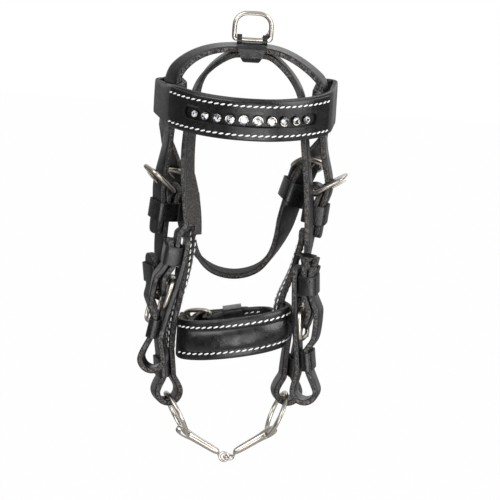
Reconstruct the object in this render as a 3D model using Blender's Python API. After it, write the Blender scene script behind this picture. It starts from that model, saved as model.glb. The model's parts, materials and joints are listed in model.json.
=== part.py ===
"""A miniature black leather bridle that hangs from a nickel ring, built as separate pieces.

Units are metres, +Z is up and the front of the bridle faces -Y. Left is -X, the left as seen from the front.
The origin is the inside of the hanging ring's top, where a hook or a cord carries it.
"""

import math

import bmesh
import bpy
from mathutils import Matrix, Vector

# Leather
STRAP_WIDTH = 0.0080
STRAP_THICKNESS = 0.0024
HEADPIECE_THICKNESS = 0.0025
EDGE_CHAMFER = 0.0004
FIT_GAP = 0.0003
CORNER_SEGMENTS = 2

# Hanging ring and the leather loop below it
HANG_RING_INNER_WIDTH = 0.0128
HANG_RING_INNER_HEIGHT = 0.0090
HANG_RING_WIRE = 0.00185
HANG_RING_CORNER = 0.0052
CROWN_LOOP_WIDTH = 0.0122
CROWN_LOOP_FOOT_WIDTH = 0.0094
CROWN_LOOP_WALL = 0.0012
CROWN_EAR_WIDTH = 0.0020
CROWN_EAR_WALL = 0.0009
CROWN_EAR_SIDES = 14
HEAD_BALANCE = 0.0018

# Headpieces
BILLET_SLIT = 0.0006

# Browband
BROWBAND_HEIGHT = 0.0172
BROWBAND_THICKNESS = 0.0020
OVERLAY_THICKNESS = 0.0012
SLOT_HEIGHT = 0.0053
SLOT_LENGTH = 0.0560
SLOT_END_ROOM = 0.0014
CRYSTAL_PITCH = 0.0053
CRYSTAL_DIAMETER = 0.0041
CUP_WALL = 0.00030
CUP_DEPTH = 0.0007
CRYSTAL_HEIGHT = 0.0011
CRYSTAL_SIDES = 8
LINK_WIRE = 0.0005

# Noseband and chin strap
NOSEBAND_HEIGHT = 0.0160
NOSEBAND_THICKNESS = 0.0022
PAD_HEIGHT = 0.0086
PAD_THICKNESS = 0.0016
CHIN_STRAP_WIDTH = 0.0086

# Buckles
BUCKLE_WIRE = 0.0018
BUCKLE_SIDE_CLEARANCE = 0.0007
BUCKLE_LENGTH = 0.0116
RING_BUCKLE_LENGTH = 0.0139
TONGUE_WIRE = 0.0010
CHAPE_WALL = 0.0008
CHAPE_LENGTH = 0.0100

# Keepers
KEEPER_LENGTH = 0.0074
KEEPER_WALL = 0.0009
KEEPER_SIDE_CLEARANCE = 0.0004

# Bit
BIT_RING_DIAMETER = 0.0184
BIT_RING_WIRE = 0.0018
BIT_ARM_DIAMETER = 0.0032
BIT_ARM_REACH = 0.0190
BIT_ARM_HEEL = 0.0044
BIT_EYE_DIAMETER = 0.0037
BIT_EYE_WIRE = 0.0011
BIT_LOOP_RADIUS = 0.0036

# Bends, clearances and facets that several pieces share
BUCKLE_STEPS = 22
BUCKLE_ROUNDNESS = 0.5
TONGUE_EYE_STEPS = 6
TONGUE_START = 125.0
TONGUE_END_ROOM = 25.0
TONGUE_OVERHANG = 0.0008
FOLD_CLEARANCE = 0.00050
FOLD_NARROWING = 0.2
FOLD_CLOSE_S = 0.0042
FOLD_NARROW_REACH = 0.0062
CHAPE_CLEARANCE = 0.00045
CHAPE_WIDTH = 0.0048
CHAPE_TAB_LENGTH = 0.0050
CHAPE_BACK_ROOM = 0.0012
TAIL_ROOM = 0.0006
FAR_END_ROOM = 0.0009
BILLET_ROOM = 0.0004
LAYER_TURN = math.radians(8)
STRAP_TURN = math.radians(17)
FLAT_LEAD = 0.0010
STRAIGHT_STEP = 0.0120
TAIL_RUNOUT = 0.0040

# Places along the straps
HEADPIECE_Y = 0.0058
THROAT_Y = 0.0140
UNIT_SPACING = 0.0038
CHEEK_KEEPER_S = 0.0046
UPPER_KEEPER_S = 0.0300
BIT_BUCKLE_S = 0.0430
LOWER_KEEPER_S = 0.0690
REAR_LOOP_S = 0.0890
BILLET_END_S = 0.0180
FRONT_UPPER_KEEPER_S = 0.0030
FRONT_BUCKLE_S = 0.0175
FRONT_LOWER_KEEPER_S = 0.0345
FRONT_LOOP_S = 0.0565
THROAT_KEEPER_S = 0.0050
THROAT_BILLET_END_S = 0.0148
THROAT_CHAPE_LENGTH = 0.0086
CHEEK_RING_TILT = 52.0
FRONT_RING_TILT = 2.0
THROAT_RING_TILT = 50.0
HEADPIECE_TURN = {-1: 16.0, 1: 6.0}
HANG_RING_FOOT_CORNER = 0.0010
BROWBAND_Z = -0.0370
BROWBAND_FOLD_RADIUS = 0.00330
BROWBAND_LAP = 0.0100
OVERLAY_START_S = 0.0235
OVERLAY_MARGIN = 0.0004
STONES_SHIFT = 0.0010
TAB_WIDTH = 0.0050
TAB_END_Z = -0.0895
NOSEBAND_Z = -0.1276
NOSEBAND_SLOPE = 0.19
PAD_START_S = 0.0160
PAD_END_S = 0.0150
PAD_EDGE = 0.0009
HANGER_WIDTH = 0.0065
HANGER_THICKNESS = 0.0026
CHIN_KEEPER_S = 0.0052
CHIN_BILLET_END_S = 0.0165
CHIN_RING_TILT = 22.0
BIT_RING_SWING = 25.0
BIT_RING_TOE = {"left": 16.0, "right": -8.0}
BIT_RING_STEPS = 22
BIT_ARM_SIDES = 12
BIT_EYE_STEPS = 12
BIT_HOLE_CLEARANCE = 0.0004
BIT_SLOT_LENGTH = 0.0039
BIT_NECK_LENGTH = 0.0046
BIT_EYE_TURN = {"left": 0.0, "right": 75.0}
EAR_CLEARANCE = 0.0004

BLACK_LEATHER = ("black_leather", (0.020, 0.020, 0.022), 0.42, 0.0)
EDGE_LEATHER = ("padded_leather", (0.026, 0.025, 0.026), 0.38, 0.0)
NICKEL = ("nickel", (0.72, 0.69, 0.64), 0.22, 1.0)
CRYSTAL = ("crystal", (0.80, 0.84, 0.88), 0.06, 0.0)

materials = {}


def clear_scene():
    for item in list(bpy.data.objects):
        bpy.data.objects.remove(item, do_unlink=True)


def material(spec):
    """One Principled material for each finish."""
    name, colour, roughness, metallic = spec
    if name not in materials:
        made = bpy.data.materials.new(name)
        made.use_nodes = True
        shader = made.node_tree.nodes["Principled BSDF"]
        shader.inputs["Base Color"].default_value = (*colour, 1.0)
        shader.inputs["Roughness"].default_value = roughness
        shader.inputs["Metallic"].default_value = metallic
        materials[name] = made
    return materials[name]


def unit(vector):
    return Vector(vector).normalized()


def turned(side, degrees):
    """The way a strap's grain faces at the side of the head, turned from the side towards the viewer."""
    angle = math.radians(degrees)
    return Vector((side * math.cos(angle), -math.sin(angle), 0.0))


def curve_through(points, per_span=14):
    """A smooth curve through the points, with the same number of samples between each two.

    The bends are weighed by the points' distances, so that points close together make no loop.
    """
    points = [Vector(p) for p in points]
    ends = [points[0] * 2 - points[1]] + points + [points[-1] * 2 - points[-2]]
    samples = []
    for i in range(1, len(ends) - 2):
        a, b, c, d = ends[i - 1:i + 3]
        first, middle, last = (max(math.sqrt((q - p).length), 1e-5) for p, q in ((a, b), (b, c), (c, d)))
        leave = ((b - a) / first - (c - a) / (first + middle) + (c - b) / middle) * middle
        arrive = ((c - b) / middle - (d - b) / (middle + last) + (d - c) / last) * middle
        for k in range(per_span):
            t = k / per_span
            samples.append((2 * t ** 3 - 3 * t ** 2 + 1) * b + (t ** 3 - 2 * t ** 2 + t) * leave
                           + (3 * t ** 2 - 2 * t ** 3) * c + (t ** 3 - t ** 2) * arrive)
    samples.append(points[-1])
    return samples


class Spine:
    """The centre line of a strap, with the way its grain faces, that everything on the strap is placed by.

    A place on it is s along the strap, o out from the strap's middle towards the grain, and w across it.
    """

    def __init__(self, points, outs):
        self.points = curve_through(points)
        self.outs = curve_through(outs)
        self.lengths = [0.0]
        for a, b in zip(self.points, self.points[1:]):
            self.lengths.append(self.lengths[-1] + (b - a).length)

    @property
    def length(self):
        return self.lengths[-1]

    def axes(self, s):
        """Place, across, out and along at distance s; past an end the strap goes straight on."""
        inside = min(max(s, 0.0), self.length)
        i = 0
        while i < len(self.lengths) - 2 and self.lengths[i + 1] < inside:
            i += 1
        span = self.lengths[i + 1] - self.lengths[i]
        t = (inside - self.lengths[i]) / span if span else 0.0
        before = self.points[max(i - 1, 0)]
        after = self.points[min(i + 2, len(self.points) - 1)]
        near = (self.points[i + 1] - before).normalized()
        far = (after - self.points[i]).normalized()
        along = near.lerp(far, t).normalized()
        out = self.outs[i].lerp(self.outs[i + 1], t)
        out = (out - along * out.dot(along)).normalized()
        across = out.cross(along)
        place = self.points[i].lerp(self.points[i + 1], t) + along * (s - inside)
        return place, across, out, along

    def place(self, s, o=0.0, w=0.0):
        place, across, out, along = self.axes(s)
        return place + out * o + across * w

    def matrix(self, s, o=0.0, w=0.0):
        """X across the strap, Y out, Z along it."""
        place, across, out, along = self.axes(s)
        turn = Matrix((across, out, along)).transposed().to_4x4()
        return Matrix.Translation(place + out * o + across * w) @ turn


def stations(samples, acrosses, widths, most_turn, most_step=0.0090, most_change=0.12):
    """The few stations that a strap needs: close together where it bends, twists or narrows."""
    kept = [0]
    turn = 0.0
    step = 0.0
    for i in range(1, len(samples) - 1):
        before = (samples[i] - samples[i - 1])
        after = (samples[i + 1] - samples[i])
        turn += before.angle(after, 0.0) + acrosses[i].angle(acrosses[i + 1], 0.0)
        step += before.length
        change = abs(widths[i + 1] - widths[kept[-1]])
        if turn > most_turn or step > most_step or change > most_change:
            kept.append(i)
            turn = 0.0
            step = 0.0
    if (samples[-1] - samples[kept[-1]]).length < 0.0004 and len(kept) > 2:
        kept.pop()
    kept.append(len(samples) - 1)
    return kept


def loft(rings, closed=False):
    """One closed body through rings of points, with flat ends or joined end to end."""
    bm = bmesh.new()
    made = [[bm.verts.new(p) for p in ring] for ring in rings]
    count = len(made)
    size = len(made[0])
    for i in range(count if closed else count - 1):
        here = made[i]
        there = made[(i + 1) % count]
        for k in range(size):
            m = (k + 1) % size
            bm.faces.new((here[k], here[m], there[m], there[k]))
    if not closed:
        bm.faces.new(list(reversed(made[0])))
        bm.faces.new(made[-1])
    bmesh.ops.recalc_face_normals(bm, faces=bm.faces)
    return bm


def finish(name, bm, finish_spec, parent=None, smooth=35):
    """The named object, smooth where it's round."""
    mesh = bpy.data.meshes.new(name)
    bm.to_mesh(mesh)
    bm.free()
    mesh.materials.append(material(finish_spec))
    mesh.shade_smooth()
    mesh.set_sharp_from_angle(angle=math.radians(smooth))
    made = bpy.data.objects.new(name, mesh)
    bpy.context.scene.collection.objects.link(made)
    seat(made, parent)
    return made


def seat(made, parent):
    """Hang a piece, modelled in the head's own frame, on the empty of its joint."""
    if parent is not None:
        made.parent = parent
        made.location = head_shift - pivot_of(parent)


def pivot_of(empty):
    place = Vector(empty.location)
    while empty.parent is not None:
        empty = empty.parent
        place += empty.location
    return place


def pivot(name, place, parent=None):
    """An empty on a joint's axis, at a place in the world."""
    empty = bpy.data.objects.new(name, None)
    empty.empty_display_size = 0.004
    bpy.context.scene.collection.objects.link(empty)
    empty.location = place
    if parent is not None:
        empty.parent = parent
        empty.location = Vector(place) - pivot_of(parent)
    return empty


def boolean(target, tool, operation):
    """Cut a tool out of a piece or weld it on; the tool itself is only a guide."""
    tool.hide_render = True
    tool.display_type = "WIRE"
    change = target.modifiers.new(tool.name, "BOOLEAN")
    change.operation = operation
    change.solver = "EXACT"
    change.object = tool


def strap_section(width, thickness, chamfer=EDGE_CHAMFER):
    """A strap's cut end: a flat rectangle with its four edges taken off."""
    x = width / 2
    y = thickness / 2
    c = min(EDGE_CHAMFER, thickness / 4)
    d = min(chamfer, thickness * 0.6)
    return [(-x, -y + c), (-x + c, -y), (x - c, -y), (x, -y + c),
            (x, y - d), (x - d, y), (-x + d, y), (-x, y - d)]


def strap_rings(samples, acrosses, width, thickness, taper=None, chamfer=EDGE_CHAMFER, most_turn=STRAP_TURN):
    """Sections along a route. taper(distance from the start, distance from the end) scales the width."""
    lengths = [0.0]
    for a, b in zip(samples, samples[1:]):
        lengths.append(lengths[-1] + (b - a).length)
    scales = [taper(length, lengths[-1] - length) if taper else 1.0 for length in lengths]
    kept = stations(samples, acrosses, scales, most_turn)
    rings = []
    for i in kept:
        before = samples[max(i - 1, 0)]
        after = samples[min(i + 1, len(samples) - 1)]
        along = (after - before).normalized()
        across = acrosses[i] - along * acrosses[i].dot(along)
        across.normalize()
        out = along.cross(across)
        section = strap_section(width, thickness, chamfer)
        rings.append([samples[i] + across * x * scales[i] + out * y for x, y in section])
    return rings


def strap(name, samples, acrosses, width, thickness, parent, taper=None, most_turn=STRAP_TURN):
    rings = strap_rings(samples, acrosses, width, thickness, taper, most_turn=most_turn)
    return finish(name, loft(rings), BLACK_LEATHER, parent, smooth=40)


def layer_route(spine, points):
    """A route given as (s, o) places beside a spine, as samples in space with the way across at each."""
    flat = curve_through([Vector((s, o, 0.0)) for s, o in points], per_span=8)
    samples = [spine.place(p.x, p.y) for p in flat]
    acrosses = [spine.axes(p.x)[1] for p in flat]
    return samples, acrosses


def pointed_end(length=0.0042, blunt=0.42):
    """A strap's far end cut to a rounded point."""
    def taper(_, left):
        if left >= length:
            return 1.0
        t = left / length
        return blunt + (1 - blunt) * math.sqrt(1 - (1 - t) ** 2)
    return taper


def arc(centre, radius, start, end, count):
    """Points (s, o) round a centre between two angles in degrees; 0 is out and 90 is further along."""
    points = []
    for k in range(count):
        angle = math.radians(start + (end - start) * k / (count - 1))
        points.append((centre[0] + radius * math.sin(angle), centre[1] + radius * math.cos(angle)))
    return points


def rounded_outline(width, height, radius, segments=CORNER_SEGMENTS):
    """A rectangle with round corners, centred on zero."""
    points = []
    for cx, cy, start in ((1, 1, 0), (-1, 1, 90), (-1, -1, 180), (1, -1, 270)):
        for k in range(segments + 1):
            angle = math.radians(start + 90 * k / segments)
            x = cx * (width / 2 - radius) + radius * math.cos(angle)
            y = cy * (height / 2 - radius) + radius * math.sin(angle)
            points.append((x, y))
    return points


def hollow_band(name, matrix, inner_width, inner_height, wall, length, parent, corner=0.0009):
    """A leather loop sewn into a flat tube, with the matrix's Z axis along its middle."""
    inner = rounded_outline(inner_width, inner_height, corner)
    outer = rounded_outline(inner_width + 2 * wall, inner_height + 2 * wall, corner + wall)
    rings = []
    for outline, z in ((inner, -length / 2), (outer, -length / 2), (outer, length / 2), (inner, length / 2)):
        rings.append([matrix @ Vector((x, y, z)) for x, y in outline])
    return finish(name, loft(rings, closed=True), BLACK_LEATHER, parent)


def tube(points, diameter, sides, closed=False):
    """Round wire along points, as a closed body."""
    count = len(points)
    rings = []
    side = None
    for i in range(count):
        before = points[i - 1] if i or closed else points[i]
        after = points[(i + 1) % count] if i < count - 1 or closed else points[i]
        along = (after - before).normalized()
        if side is None:
            side = along.orthogonal().normalized()
        side = (side - along * side.dot(along)).normalized()
        other = along.cross(side)
        ring = []
        for k in range(sides):
            angle = 2 * math.pi * k / sides
            ring.append(points[i] + (side * math.cos(angle) + other * math.sin(angle)) * diameter / 2)
        rings.append(ring)
    return loft(rings, closed)


def wire(name, points, diameter, parent, closed=False, sides=8):
    return finish(name, tube(points, diameter, sides, closed), NICKEL, parent, smooth=60)


def weld(name, tool_bm, target, operation, parent):
    """A guide body that is welded to a piece or cut out of it."""
    boolean(target, finish(name, tool_bm, BLACK_LEATHER, parent), operation)


def box(matrix, low, high):
    """A plain block between two corners in the matrix's frame, as a cutter."""
    bm = bmesh.new()
    bmesh.ops.create_cube(bm, size=1.0)
    size = Vector(high) - Vector(low)
    middle = (Vector(high) + Vector(low)) / 2
    place = matrix @ Matrix.Translation(middle) @ Matrix.Diagonal((*size, 1.0))
    bmesh.ops.transform(bm, matrix=place, verts=bm.verts)
    return bm


def bar_matrix(spine, s, o, tilt, upward):
    """A buckle's frame at its bar: X along the bar, Z towards the far end, which leans out by the tilt.

    The far end lies back towards the strap's start when upward is true, and further along it otherwise.
    """
    matrix = spine.matrix(s, o)
    if upward:
        matrix = matrix @ Matrix.Rotation(math.pi, 4, "Y")
    return matrix @ Matrix.Rotation(math.radians(-tilt), 4, "X")


def buckle_frame(name, matrix, strap_width, length, parent):
    """An oval wire ring with a nearly straight bar on the matrix's X axis."""
    half = strap_width / 2 + BUCKLE_SIDE_CLEARANCE + BUCKLE_WIRE / 2
    points = []
    for k in range(BUCKLE_STEPS):
        angle = 2 * math.pi * (k + 0.5) / BUCKLE_STEPS
        x = math.copysign(abs(math.cos(angle)) ** BUCKLE_ROUNDNESS, math.cos(angle)) * half
        z = (math.copysign(abs(math.sin(angle)) ** BUCKLE_ROUNDNESS, math.sin(angle)) + 1) * length / 2
        points.append(matrix @ Vector((x, 0.0, z)))
    return wire(name, points, BUCKLE_WIRE, parent, closed=True, sides=6)


def tongue_points(matrix, length, start=TONGUE_START):
    """The tongue: an open eye round the bar, then straight on to rest on the far end of the ring."""
    eye = BUCKLE_WIRE / 2 + FIT_GAP + TONGUE_WIRE / 2
    points = []
    for k in range(TONGUE_EYE_STEPS + 1):
        angle = math.radians(start + (360 - start) * k / TONGUE_EYE_STEPS)
        points.append(matrix @ Vector((0.0, eye * math.cos(angle), eye * math.sin(angle))))
    for share in (0.33, 0.66, 1.0):
        points.append(matrix @ Vector((0.0, eye, share * (length + TONGUE_OVERHANG))))
    return points


def buckle_tongue(name, matrix, length, parent):
    return wire(name, tongue_points(matrix, length), TONGUE_WIRE, parent, sides=6)


def prick(target, name, matrix, length, parent):
    """The hole and slot that the tongue and its eye need in a strap."""
    points = tongue_points(matrix, length, TONGUE_START - TONGUE_END_ROOM)
    weld(name, tube(points, TONGUE_WIRE + 2 * FIT_GAP, 6), target, "DIFFERENCE", parent)


def fold_offset():
    """How far the bar in a fold lies in from the middle of the strap's outer layer."""
    return (STRAP_THICKNESS + FIT_GAP) / 2


def fold_radius():
    return BUCKLE_WIRE / 2 + FOLD_CLEARANCE + STRAP_THICKNESS / 2


def fold_points(chape_length=CHAPE_LENGTH):
    """The strap's end: up behind, round the bar at s = 0, and down again as the outer layer."""
    inner = -2 * fold_offset()
    start = [(chape_length, inner), (FOLD_CLOSE_S + FLAT_LEAD, inner), (FOLD_CLOSE_S, inner)]
    turn = arc((0.0, -fold_offset()), fold_radius(), 188, 352, 7)
    return start + turn + [(FOLD_CLOSE_S, 0.0), (FOLD_CLOSE_S + FLAT_LEAD, 0.0)]


def narrow_at_fold(chape_length=CHAPE_LENGTH):
    """The strap is cut narrower where it goes round the bar."""
    middle = chape_length + fold_radius() * math.pi / 2

    def taper(start, left):
        reach = abs(start - middle)
        if reach > FOLD_NARROW_REACH:
            return 1.0
        return 1.0 - FOLD_NARROWING * math.cos(reach / FOLD_NARROW_REACH * math.pi / 2) ** 2
    return taper


def over_fold():
    """The middle of the strap that lies over the fold, at the bar and below it."""
    return fold_radius() - fold_offset() + STRAP_THICKNESS + FIT_GAP, STRAP_THICKNESS + FIT_GAP


def over_fold_points():
    """The way of a billet down over the fold until the two lie flat together."""
    over, beside = over_fold()
    return [(0.0004, over), (FOLD_CLOSE_S, beside), (FOLD_CLOSE_S + FLAT_LEAD, beside)]


def keeper(name, spine, s, low, high, parent, width=STRAP_WIDTH):
    """A leather loop round everything between low and high, measured out from the strap's middle."""
    matrix = spine.matrix(s + KEEPER_LENGTH / 2, (low + high) / 2)
    inner_width = width + 2 * KEEPER_SIDE_CLEARANCE
    inner_height = high - low + 2 * FIT_GAP
    return hollow_band(name, matrix, inner_width, inner_height, KEEPER_WALL, KEEPER_LENGTH, parent)


def chape(name, spine, s, o, parent):
    """A thin leather tab on the strap that holds a buckle's bar in the strap's slot."""
    radius = BUCKLE_WIRE / 2 + CHAPE_CLEARANCE + CHAPE_WALL / 2
    leg = STRAP_THICKNESS / 2 + FIT_GAP + CHAPE_WALL / 2
    points = [(s - CHAPE_TAB_LENGTH, leg), (s - 0.0032, leg)]
    points += arc((s, o), radius, 215, 110, 4) + arc((s, o), radius, 80, -40, 5)
    samples, acrosses = layer_route(spine, points)
    return strap(name, samples, acrosses, CHAPE_WIDTH, CHAPE_WALL, parent)


clear_scene()

bar_height = -(HANG_RING_INNER_HEIGHT + HANG_RING_WIRE / 2)
head_shift = Vector((0.0, HEAD_BALANCE, 0.0))
hang_pivot = pivot("hang_point", (0.0, 0.0, 0.0))
crown_pivot = pivot("crown_hinge", (0.0, 0.0, bar_height), hang_pivot)


def d_ring_points():
    """The hanging ring's wire: a straight bar below, straight sides, and two wide round corners above."""
    half = (HANG_RING_INNER_WIDTH + HANG_RING_WIRE) / 2
    top = HANG_RING_WIRE / 2
    points = []
    for cx, cz, radius, start, steps in (
            (1, top - HANG_RING_CORNER, HANG_RING_CORNER, 0, 6),
            (-1, top - HANG_RING_CORNER, HANG_RING_CORNER, 90, 6),
            (-1, bar_height + HANG_RING_FOOT_CORNER, HANG_RING_FOOT_CORNER, 180, 3),
            (1, bar_height + HANG_RING_FOOT_CORNER, HANG_RING_FOOT_CORNER, 270, 3)):
        for k in range(steps + 1):
            angle = math.radians(start + 90 * k / steps)
            points.append(Vector((cx * (half - radius) + radius * math.cos(angle), -HEAD_BALANCE,
                                  cz + radius * math.sin(angle))))
    return points


wire("hang_ring", d_ring_points(), HANG_RING_WIRE, hang_pivot, closed=True, sides=10)

# The heights of the straps below the ring's bar, and where they lie front to back in the head's own frame
billet_offset = (STRAP_WIDTH + BILLET_SLIT) / 2
headpiece_width = 2 * STRAP_WIDTH + BILLET_SLIT
loop_top = bar_height - HANG_RING_WIRE / 2 - FIT_GAP
headpiece_top = loop_top - CROWN_LOOP_WALL - FIT_GAP
inner_top = headpiece_top - HEADPIECE_THICKNESS - FIT_GAP
loop_bottom = inner_top - STRAP_THICKNESS - FIT_GAP - CROWN_LOOP_WALL
rear_unit_y = HEADPIECE_Y - billet_offset
front_unit_y = rear_unit_y - (STRAP_WIDTH + 2 * (KEEPER_WALL + KEEPER_SIDE_CLEARANCE) + UNIT_SPACING)


def build_crown_loop():
    """The leather loop round both headpieces, with two ears round the ring's bar."""
    height = loop_top - loop_bottom
    matrix = Matrix.Translation((0.0, HEADPIECE_Y, (loop_top + loop_bottom) / 2))
    inner = rounded_outline(headpiece_width + 2 * FIT_GAP, height - 2 * CROWN_LOOP_WALL, 0.0009)
    outer = rounded_outline(headpiece_width + 2 * (FIT_GAP + CROWN_LOOP_WALL), height, 0.0021)
    rings = []
    for outline, side in ((inner, -1), (outer, -1), (outer, 1), (inner, 1)):
        ring = []
        for y, z in outline:
            share = (z + height / 2) / height
            half = (CROWN_LOOP_FOOT_WIDTH + (CROWN_LOOP_WIDTH - CROWN_LOOP_FOOT_WIDTH) * share) / 2
            ring.append(matrix @ Vector((side * half, y, z)))
        rings.append(ring)
    loop = finish("crown_loop", loft(rings, closed=True), BLACK_LEATHER, crown_pivot)
    reach = HANG_RING_WIRE / 2 + EAR_CLEARANCE
    for side in (-1, 1):
        middle = side * (CROWN_LOOP_WIDTH - CROWN_EAR_WIDTH) / 2
        rings = []
        outer = reach + CROWN_EAR_WALL
        for radius, end in ((reach, -1), (outer, -1), (outer, 1), (reach, 1)):
            ring = []
            for k in range(CROWN_EAR_SIDES):
                angle = 2 * math.pi * (k + 0.5) / CROWN_EAR_SIDES
                ring.append(Vector((middle + end * CROWN_EAR_WIDTH / 2,
                                    -HEAD_BALANCE + radius * math.cos(angle),
                                    bar_height + radius * math.sin(angle))))
            rings.append(ring)
        weld("crown_ear_guide", loft(rings, closed=True), loop, "UNION", crown_pivot)


build_crown_loop()


# The lines of the straps on each side of the head: left, then right. They hang a little unevenly.
REAR_SPINES = {
    "left": Spine([(-0.0303, rear_unit_y, -0.0740), (-0.0309, rear_unit_y, -0.0800),
                   (-0.0315, rear_unit_y, -0.0870), (-0.0319, rear_unit_y, -0.0950),
                   (-0.0312, rear_unit_y, -0.1060), (-0.0296, rear_unit_y, -0.1160),
                   (-0.0277, rear_unit_y, -0.1270), (-0.0256, rear_unit_y, -0.1400),
                   (-0.0242, rear_unit_y, -0.1520), (-0.0236, rear_unit_y, -0.1650)],
                  [turned(-1, d) for d in (27, 27, 27, 27, 25, 22, 20, 18, 17, 16)]),
    "right": Spine([(0.0301, rear_unit_y, -0.0715), (0.0296, rear_unit_y, -0.0775),
                    (0.0289, rear_unit_y, -0.0845), (0.0279, rear_unit_y, -0.0925),
                    (0.0262, rear_unit_y, -0.1030), (0.0243, rear_unit_y, -0.1130),
                    (0.0225, rear_unit_y, -0.1240), (0.0208, rear_unit_y, -0.1370),
                    (0.0203, rear_unit_y, -0.1490), (0.0205, rear_unit_y, -0.1620)],
                   [turned(1, d) for d in (10, 10, 10, 10, 7, 3, -2, -8, -12, -14)]),
}
FRONT_SPINES = {
    "left": Spine([(-0.0210, front_unit_y, -0.0905), (-0.0214, front_unit_y, -0.0950),
                   (-0.0221, front_unit_y, -0.1000), (-0.0234, front_unit_y, -0.1065),
                   (-0.0253, front_unit_y, -0.1135), (-0.0271, front_unit_y, -0.1205),
                   (-0.0287, front_unit_y, -0.1290), (-0.0297, front_unit_y, -0.1360),
                   (-0.0302, front_unit_y, -0.1425)],
                  [turned(-1, d) for d in (8, 8, 7, 5, 2, -2, -5, -8, -9)]),
    "right": Spine([(0.0232, front_unit_y, -0.0990), (0.0234, front_unit_y, -0.1045),
                    (0.0238, front_unit_y, -0.1105), (0.0243, front_unit_y, -0.1170),
                    (0.0249, front_unit_y, -0.1240), (0.0256, front_unit_y, -0.1310),
                    (0.0267, front_unit_y, -0.1400), (0.0276, front_unit_y, -0.1480),
                    (0.0281, front_unit_y, -0.1545)],
                   [turned(1, d) for d in (12, 12, 14, 15, 14, 13, 11, 10, 10)]),
}

# Layers of a cheek unit, measured out from the middle of its inner strap
back_wall = STRAP_THICKNESS / 2 + FIT_GAP
first_layer = back_wall + KEEPER_WALL + FIT_GAP + STRAP_THICKNESS / 2
second_layer = first_layer + STRAP_THICKNESS + FIT_GAP
bar_seat = STRAP_THICKNESS / 2 + FIT_GAP + BUCKLE_WIRE / 2
over_chape = bar_seat + BUCKLE_WIRE / 2 + CHAPE_CLEARANCE + CHAPE_WALL + FIT_GAP + STRAP_THICKNESS / 2
loop_radius = BIT_LOOP_RADIUS + STRAP_THICKNESS / 2


def loop_points(keeper_end, bottom, tail_layer):
    """The strap's turn at the foot of a cheek unit, from the inner layer round to the tail."""
    middle = tail_layer / 2
    centre = (bottom - STRAP_THICKNESS / 2 - loop_radius, middle)
    points = [(keeper_end - FLAT_LEAD, 0.0), (keeper_end + FIT_GAP, 0.0)]
    points += arc(centre, loop_radius, 205, -25, 10)
    points += [(keeper_end + FIT_GAP, tail_layer), (keeper_end - FLAT_LEAD, tail_layer)]
    return points


def build_rear_unit(side):
    """The cheekpiece that carries the bit: a ring buckle above, and its tail buckled back on itself below."""
    spine = REAR_SPINES[side]
    beside = over_fold()[1]
    cheek_bar = bar_matrix(spine, 0.0, -fold_offset(), CHEEK_RING_TILT, True)
    rest = first_layer + STRAP_THICKNESS / 2 + FAR_END_ROOM + BUCKLE_WIRE / 2
    bit_tilt = math.degrees(math.asin((rest - bar_seat) / BUCKLE_LENGTH))
    bit_bar = bar_matrix(spine, BIT_BUCKLE_S, bar_seat, bit_tilt, False)
    points = fold_points()
    points += [(STRAIGHT_STEP, 0.0), (2 * STRAIGHT_STEP, 0.0)]
    points += [(BIT_BUCKLE_S, 0.0), (BIT_BUCKLE_S + STRAIGHT_STEP, 0.0)]
    points += loop_points(LOWER_KEEPER_S + KEEPER_LENGTH, REAR_LOOP_S, first_layer)
    far_s = BIT_BUCKLE_S + BUCKLE_LENGTH
    keeper_end = UPPER_KEEPER_S + KEEPER_LENGTH
    points += [(LOWER_KEEPER_S - 2 * FLAT_LEAD, first_layer), (far_s + FLAT_LEAD, first_layer),
               (far_s - 0.0022, first_layer), (BIT_BUCKLE_S + 0.0045, (first_layer + over_chape) / 2),
               (BIT_BUCKLE_S, over_chape), (keeper_end + 0.0016, first_layer + FIT_GAP),
               (keeper_end - FLAT_LEAD, first_layer), (UPPER_KEEPER_S - TAIL_RUNOUT, first_layer)]
    samples, acrosses = layer_route(spine, points)
    fold = narrow_at_fold()
    point = pointed_end()
    strap_piece = strap("cheekpiece_" + side, samples, acrosses, STRAP_WIDTH, STRAP_THICKNESS, crown_pivot,
                        lambda start, left: fold(start, left) * point(start, left))
    prick(strap_piece, "cheek_fold_guide", cheek_bar, RING_BUCKLE_LENGTH, crown_pivot)
    prick(strap_piece, "cheek_hole_guide", bit_bar, BUCKLE_LENGTH, crown_pivot)
    chape_slot(strap_piece, spine, BIT_BUCKLE_S)
    buckle_frame("cheek_buckle_frame_" + side, cheek_bar, STRAP_WIDTH, RING_BUCKLE_LENGTH, crown_pivot)
    buckle_tongue("cheek_buckle_tongue_" + side, cheek_bar, RING_BUCKLE_LENGTH, crown_pivot)
    cheek_pivot = pivot("cheek_keeper_slide_" + side,
                        spine.place(CHEEK_KEEPER_S, 0.0) + head_shift, crown_pivot)
    keeper("cheek_keeper_" + side, spine, CHEEK_KEEPER_S, -2 * fold_offset() - STRAP_THICKNESS / 2,
           beside + STRAP_THICKNESS / 2, cheek_pivot)
    buckle_frame("bit_buckle_frame_" + side, bit_bar, STRAP_WIDTH, BUCKLE_LENGTH, crown_pivot)
    buckle_tongue("bit_buckle_tongue_" + side, bit_bar, BUCKLE_LENGTH, crown_pivot)
    tab = chape("bit_buckle_chape_" + side, spine, BIT_BUCKLE_S, bar_seat, crown_pivot)
    prick(tab, "bit_chape_guide", bit_bar, BUCKLE_LENGTH, crown_pivot)
    low = first_layer - STRAP_THICKNESS / 2
    high = first_layer + STRAP_THICKNESS / 2
    keeper("bit_upper_keeper_" + side, spine, UPPER_KEEPER_S, low, high, crown_pivot)
    keeper("bit_lower_keeper_" + side, spine, LOWER_KEEPER_S, low, high, crown_pivot)
    return cheek_bar


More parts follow.
